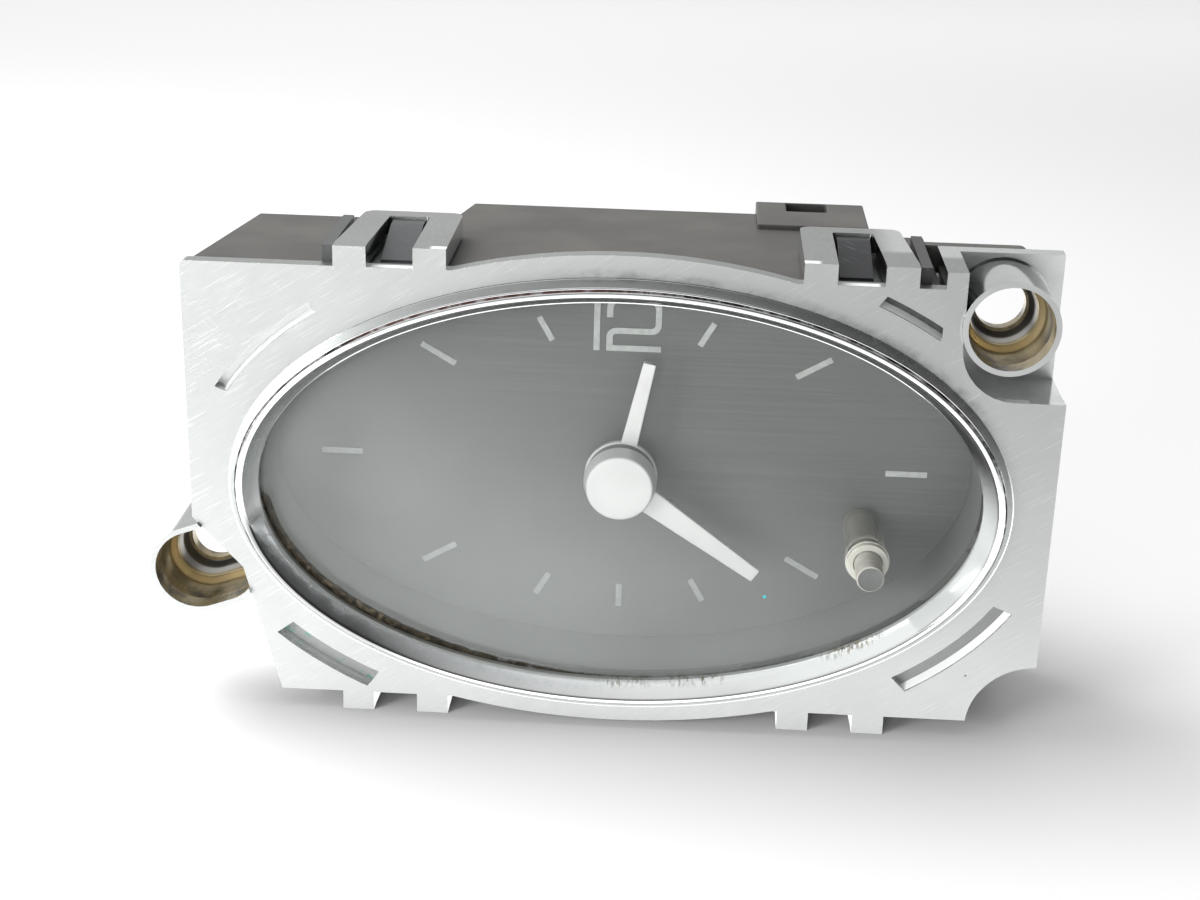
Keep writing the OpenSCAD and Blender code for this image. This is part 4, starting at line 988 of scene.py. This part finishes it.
class CLOCK_OT_ring(Operator):
    """Polished ring round the window."""

    bl_idname = "clock.ring"
    bl_label = "Window ring"

    def execute(self, context):
        settings = context.scene.clock
        above = rounded_profile(np.array(RING_ABOVE + RING_OUTSIDE) * MM, 9)
        below = rounded_profile(np.array(RING_BELOW + RING_OUTSIDE) * MM, 9)
        piece = oval_sweep("window_ring", above, settings.stage.steps, below)
        dress(piece, bright_plating(settings.plating), "bright_plating", "case", "bezel_ring")
        return {"FINISHED"}


class CLOCK_OT_window(Operator):
    """Clear window with a collar and a guide tube for the set pin."""

    bl_idname = "clock.window"
    bl_label = "Clear window"

    def execute(self, context):
        settings = context.scene.clock
        hole, collar, tube, far = 1.85 * MM, 2.7 * MM, 2.5 * MM, 1.0
        top, front, back, end = LENS_LOW.y, 1.4 * MM, 3.2 * MM, LENS_HIGH.y
        corners = [
            [hole, end, 0.05 * MM], [hole, top, 0.12 * MM], [collar, top, 0.22 * MM],
            [collar, front, 0.1 * MM], [far, front, 0.02 * MM], [far, back, 0.02 * MM],
            [tube, back, 0.1 * MM], [tube, end, 0.05 * MM]]
        piece = self.carried_to_oval("clear_window", rounded_profile(corners), far, settings.stage.steps)
        dress(piece, hazy_window(settings.window), "clear_lens", "case", "lens")
        return {"FINISHED"}

    @staticmethod
    def carried_to_oval(name, profile, far, count):
        """A profile of [radius, depth] turned about the pin's axis, whose far points lie on the window's
        oval: along direction t the oval is at the positive root R of a quadratic, |c + R d|oval = 1."""
        t = around(count)[:, None]
        a, b = WALL_HIGH.x, WALL_HIGH.z
        dx, dz = np.cos(t) / a, np.sin(t) / b
        cx, cz = BUTTON_X / a, BUTTON_Z / b
        square = dx ** 2 + dz ** 2
        half = dx * cx + dz * cz
        reach = (-half + np.sqrt(half ** 2 - square * (cx ** 2 + cz ** 2 - 1))) / square
        radius = profile[None, :, 0]
        radius = np.where(radius > far / 2, reach + (radius - far), radius)
        points = turned_points((BUTTON_X, BUTTON_Z), radius, profile[:, 1], t)
        return finish_mesh(name, points, grid_faces(count, len(profile)))


class CLOCK_OT_dial(Operator):
    """Dial with its wall and its printed marks."""

    bl_idname = "clock.dial"
    bl_label = "Dial"

    def execute(self, context):
        settings = context.scene.clock
        inner, outer = 0.0, WALL_HIGH.x - WINDOW_A
        low, high = WALL_LOW.y, WALL_HIGH.y
        edge = 0.05 * MM
        corners = [[inner, high, edge], [inner, low, edge], [outer, low, edge], [outer, high, edge]]
        piece = oval_sweep("dial_wall", rounded_profile(corners, 4), settings.stage.steps)
        dress(piece, dial_wall_paint(settings.dial), "dial_grey", "case", "dial_surround")
        paint_nodes(brushed_dial(settings.dial), "dial")
        marks = edged_copy("hour_marks", "dial_marks", 0.02 * MM, print_marks, 1)
        dress(marks, mark_ink(settings.dial), "mark_white", "case", "hour_marks")
        return {"FINISHED"}


class CLOCK_OT_hands(Operator):
    """Hour hand, minute hand and the cap over them."""

    bl_idname = "clock.hands"
    bl_label = "Hands"

    def execute(self, context):
        look = context.scene.clock.hands
        minute = (look.minute_angle, look.minute_length, look.minute_root, look.minute_tip,
                  MINUTE_LOW.y, MINUTE_HIGH.y)
        hour = (look.hour_angle, look.hour_length, look.hour_root, look.hour_tip, HOUR_LOW.y, HOUR_HIGH.y)
        piece = self.hand("minute_pointer", minute, ARBOR_RADIUS, MINUTE_HUB)
        dress(piece, hand_paint(look), "hand_white", "minute_train", "minute_hand")
        piece = self.hand("hour_pointer", hour, PIPE_RADIUS, HOUR_HUB)
        dress(piece, hour_hub_paint(look), "hand_white", "hour_train", "hour_hand")
        top, low, radius = CAP_LOW.y - look.cap_front, CAP_HIGH.y, CAP_HIGH.x
        seat = CAP_LOW.y + 0.9 * MM
        corners = [
            [0, top + 0.02 * MM, 0], [radius - 0.08 * MM, top + 0.1 * MM, 0.3 * MM],
            [radius + 0.4 * MM, low, 0.08 * MM], [ARBOR_RADIUS, low, 0.02 * MM],
            [ARBOR_RADIUS, seat, 0.02 * MM], [0, seat, 0]]
        cap = turned("pointer_cap", (0, 0), rounded_profile(corners, 8))
        dress(cap, hand_paint(look), "hand_white", "minute_train", "hand_cap")
        return {"FINISHED"}

    @staticmethod
    def hand(name, bar, bore, hub):
        """A blade that starts just outside the bore, and the turned hub that carries it. The bar is given
        as blade_points takes it."""
        blade, blade_faces = blade_points(*bar)
        angle, low, high = bar[0], *bar[-2:]
        start = np.array([math.sin(angle), 0, math.cos(angle)])
        blade += np.outer(np.clip(bore + BLADE_START - blade @ start, 0, None), start)
        edge = 0.14 * MM
        ring = rounded_profile(
            [[bore, low, edge / 2], [hub, low, edge], [hub, high, edge], [bore, high, edge / 2]], 5)
        hub_points = turned_points((0, 0), ring[:, 0], ring[:, 1], around(96)[:, None])
        hub_faces = grid_faces(96, len(ring), first=len(blade))
        points = np.concatenate([blade, hub_points])
        return finish_mesh(name, points, np.concatenate([blade_faces, hub_faces]))


class CLOCK_OT_pin(Operator):
    """Set pin that stands through the window."""

    bl_idname = "clock.pin"
    bl_label = "Set pin"

    def execute(self, context):
        radius = (PIN_HIGH.x - PIN_LOW.x) / 2
        front, end = PIN_LOW.y, PIN_HIGH.y
        corners = [
            [0, front + 0.16 * MM, 0], [radius - 0.45 * MM, front + 0.06 * MM, 0.15 * MM],
            [radius - 0.18 * MM, front, 0.08 * MM], [radius, front + 0.22 * MM, 0.12 * MM],
            [radius, end, 0.1 * MM], [0, end, 0]]
        piece = turned("set_pin", (BUTTON_X, BUTTON_Z), rounded_profile(corners), 72)
        dress(piece, smoky_pin(), "button_smoke", "button", "set_button")
        return {"FINISHED"}


class CLOCK_OT_housing(Operator):
    """Black housing, plug shroud and lamp holders."""

    bl_idname = "clock.housing"
    bl_label = "Housing"

    def execute(self, context):
        look = context.scene.clock.housing
        black = black_moulding(look)
        for node, name in (("rear_housing", "black_housing"), ("connector_shroud", "plug_shroud"),
                           ("lamp_sockets", "lamp_holders")):
            piece = edged_copy(node, name, look.edge_round, trim_lower_ribs)
            dress(piece, black, "housing_black", "case", node)
        paint_nodes(black, "connector_base", "switch_body", "switch_plunger")
        return {"FINISHED"}


class CLOCK_OT_works(Operator):
    """Materials of the works inside: lamps, board, movement and fasteners."""

    bl_idname = "clock.works"
    bl_label = "Works"

    def execute(self, context):
        steel = worked_metal("zinc_steel", (0.56, 0.56, 0.54), 0.3)
        iron = worked_metal("soft_iron", (0.36, 0.36, 0.37), 0.38)
        tin = worked_metal("tinned_contact", (0.72, 0.66, 0.46), 0.26)
        brass = worked_metal("turned_brass", (0.70, 0.54, 0.26), 0.24)
        can = worked_metal("drawn_can", (0.66, 0.66, 0.66), 0.22)
        ivory = moulded("movement_ivory", (0.62, 0.59, 0.50), 0.42)
        acetal = moulded("wheel_acetal", (0.70, 0.66, 0.52), 0.36)
        dark = moulded("component_black", (0.035, 0.035, 0.037), 0.48)
        white = moulded("light_box_white", (0.78, 0.78, 0.75), 0.5)
        paint_nodes(steel, "housing_screws", "movement_screws", "movement_pillars")
        paint_nodes(iron, "stator", "coil_core", "rotor_magnet")
        paint_nodes(tin, "connector_pins")
        paint_nodes(brass, "minute_arbor")
        paint_nodes(can, "quartz_crystal", "capacitors")
        paint_nodes(ivory, "movement_front_plate", "movement_back_plate")
        paint_nodes(acetal, "centre_wheel", "hour_wheel", "motion_wheel", "third_wheel", "rotor_pinion")
        paint_nodes(dark, "driver_chip", "resistors", "coil_bobbin")
        paint_nodes(white, "light_box")
        paint_nodes(bulb_glass(), "lamps")
        paint_nodes(circuit_laminate(), "circuit_board")
        paint_nodes(wound_copper(), "coil_winding")
        return {"FINISHED"}


class CLOCK_OT_stage(Operator):
    """Floor, light and camera."""

    bl_idname = "clock.stage"
    bl_label = "Stage"

    def execute(self, context):
        look = context.scene.clock.stage
        context.scene.view_settings.view_transform = "Standard"
        context.scene.cycles.caustics_reflective = False
        self.floor(look)
        self.world(context.scene)
        self.lamp("key", look.key, KEY_SIZE, KEY_PLACE).visible_glossy = False
        self.lamp("fill", look.fill, FILL_SIZE, FILL_PLACE)
        self.lamp("front", look.front, FRONT_SIZE, FRONT_PLACE).visible_glossy = False
        self.camera(context.scene, look)
        return {"FINISHED"}

    @staticmethod
    def floor(look):
        """A level square under the lowest point of the clock. The camera sees it a little lifted far off, and
        polished pieces see it lifted near the clock."""
        steps = np.linspace(-FLOOR_HALF, FLOOR_HALF, FLOOR_ROWS)
        x, y = np.meshgrid(steps, steps, indexing="ij")
        points = np.stack([x, y, np.full_like(x, CAD_LOW.z)], axis=-1).reshape(-1, 3)
        made = finish_mesh("floor", points, grid_faces(FLOOR_ROWS, FLOOR_ROWS, False, False)[:, ::-1])
        s = new_shader("floor_white")
        _, depth, _ = s.place()
        camera, glossy, through = (
            s.add("ShaderNodeLightPath", output=f"Is {kind} Ray")
            for kind in ("Camera", "Glossy", "Transmission"))
        near = depth.ramp(-190, 0) ** 2
        far = depth.ramp(200, 660) ** 2
        seen = camera.most(through) * look.floor_lift * (1 + 7 * far)
        lift = seen.most(glossy * near * look.floor_shine)
        matt = s.add("ShaderNodeBsdfDiffuse", None, {"Color": (*look.floor, 1.0)})
        glow = s.add("ShaderNodeEmission", None, {"Color": (1, 1, 1, 1), "Strength": lift})
        both = s.add("ShaderNodeAddShader", None, {0: matt, 1: glow})
        s.add("ShaderNodeOutputMaterial", None, {"Surface": both})
        made.data.materials.append(s.owner)

    @staticmethod
    def world(scene):
        """White for the camera. Other rays see a studio that is bright above and at the left, and dim at the
        right."""
        scene.world = bpy.data.worlds.new("studio")
        s = Shader(scene.world)
        x, y, z = s.parts(s.seat("Generated"))
        above = (z * 0.66 - x * 0.75).ramp(0.12, 0.75) * (1 - 0.5 * y.ramp(0, -0.8))
        behind = y.ramp(0.35, 0.95) * x.ramp(0.7, 0.25)
        level = 0.07 + (0.93 * above).most(behind * 0.8)
        camera = s.add("ShaderNodeLightPath", output="Is Camera Ray")
        strength = camera * 0.92 + (1 - camera) * level
        light = s.add("ShaderNodeBackground", None, {"Color": (1, 1, 1, 1), "Strength": strength})
        s.add("ShaderNodeOutputWorld", None, {"Surface": light})

    @staticmethod
    def lamp(name, power, size, place):
        """A square lamp that faces the middle of the clock."""
        data = bpy.data.lights.new(name, "AREA")
        data.energy = power
        data.size = size
        made = bpy.data.objects.new(name, data)
        x, y, z = place
        made.location = place
        made.rotation_euler = (math.atan2(math.hypot(x, y), z), 0, math.atan2(x, -y))
        made.visible_camera = False
        bpy.context.scene.collection.objects.link(made)
        return made

    @staticmethod
    def camera(scene, look):
        """The photograph's view: a place, a direction and the way up."""
        ahead = CAMERA_AHEAD.normalized()
        right = ahead.cross(CAMERA_UP).normalized()
        up = right.cross(ahead)
        data = bpy.data.cameras.new("camera")
        data.lens = look.lens
        data.sensor_width = SENSOR_WIDTH
        data.clip_start = 0.005
        made = bpy.data.objects.new("camera", data)
        turned_view = Matrix((right, up, -ahead)).transposed()
        made.matrix_world = Matrix.Translation(CAMERA_PLACE) @ turned_view.to_4x4()
        scene.collection.objects.link(made)
        scene.camera = made


class CLOCK_PT_panel(Panel):
    """Lists the pieces and their settings."""

    bl_label = "Dashboard clock"
    bl_idname = "CLOCK_PT_panel"
    bl_space_type = "VIEW_3D"
    bl_region_type = "UI"
    bl_category = "Clock"

    def draw(self, context):
        settings = context.scene.clock
        for name in GROUPS:
            box = self.layout.box()
            box.label(text=name.capitalize())
            group = getattr(settings, name)
            for key in group.__annotations__:
                box.prop(group, key)
        for operator in OPERATORS:
            self.layout.operator(operator.bl_idname)


GROUPS = ("plating", "window", "dial", "hands", "housing", "stage")
OPERATORS = (
    CLOCK_OT_stage, CLOCK_OT_frame, CLOCK_OT_ring, CLOCK_OT_window, CLOCK_OT_dial, CLOCK_OT_hands,
    CLOCK_OT_pin, CLOCK_OT_housing, CLOCK_OT_works,
)
CLASSES = (
    PlatingSettings, WindowSettings, DialSettings, HandSettings, HousingSettings, StageSettings,
    ClockSettings, *OPERATORS, CLOCK_PT_panel,
)


def register():
    """Registers the classes and the scene's settings."""
    for item in CLASSES:
        bpy.utils.register_class(item)
    bpy.types.Scene.clock = PointerProperty(type=ClockSettings)


def unregister():
    """Removes the settings and the classes."""
    del bpy.types.Scene.clock
    for item in reversed(CLASSES):
        bpy.utils.unregister_class(item)


def main():
    """Builds the clock."""
    register()
    bpy.ops.clock.stage()
    bpy.ops.clock.frame()
    bpy.ops.clock.ring()
    bpy.ops.clock.window()
    bpy.ops.clock.dial()
    bpy.ops.clock.hands()
    bpy.ops.clock.pin()
    bpy.ops.clock.housing()
    bpy.ops.clock.works()


if __name__ == "__main__":
    main()
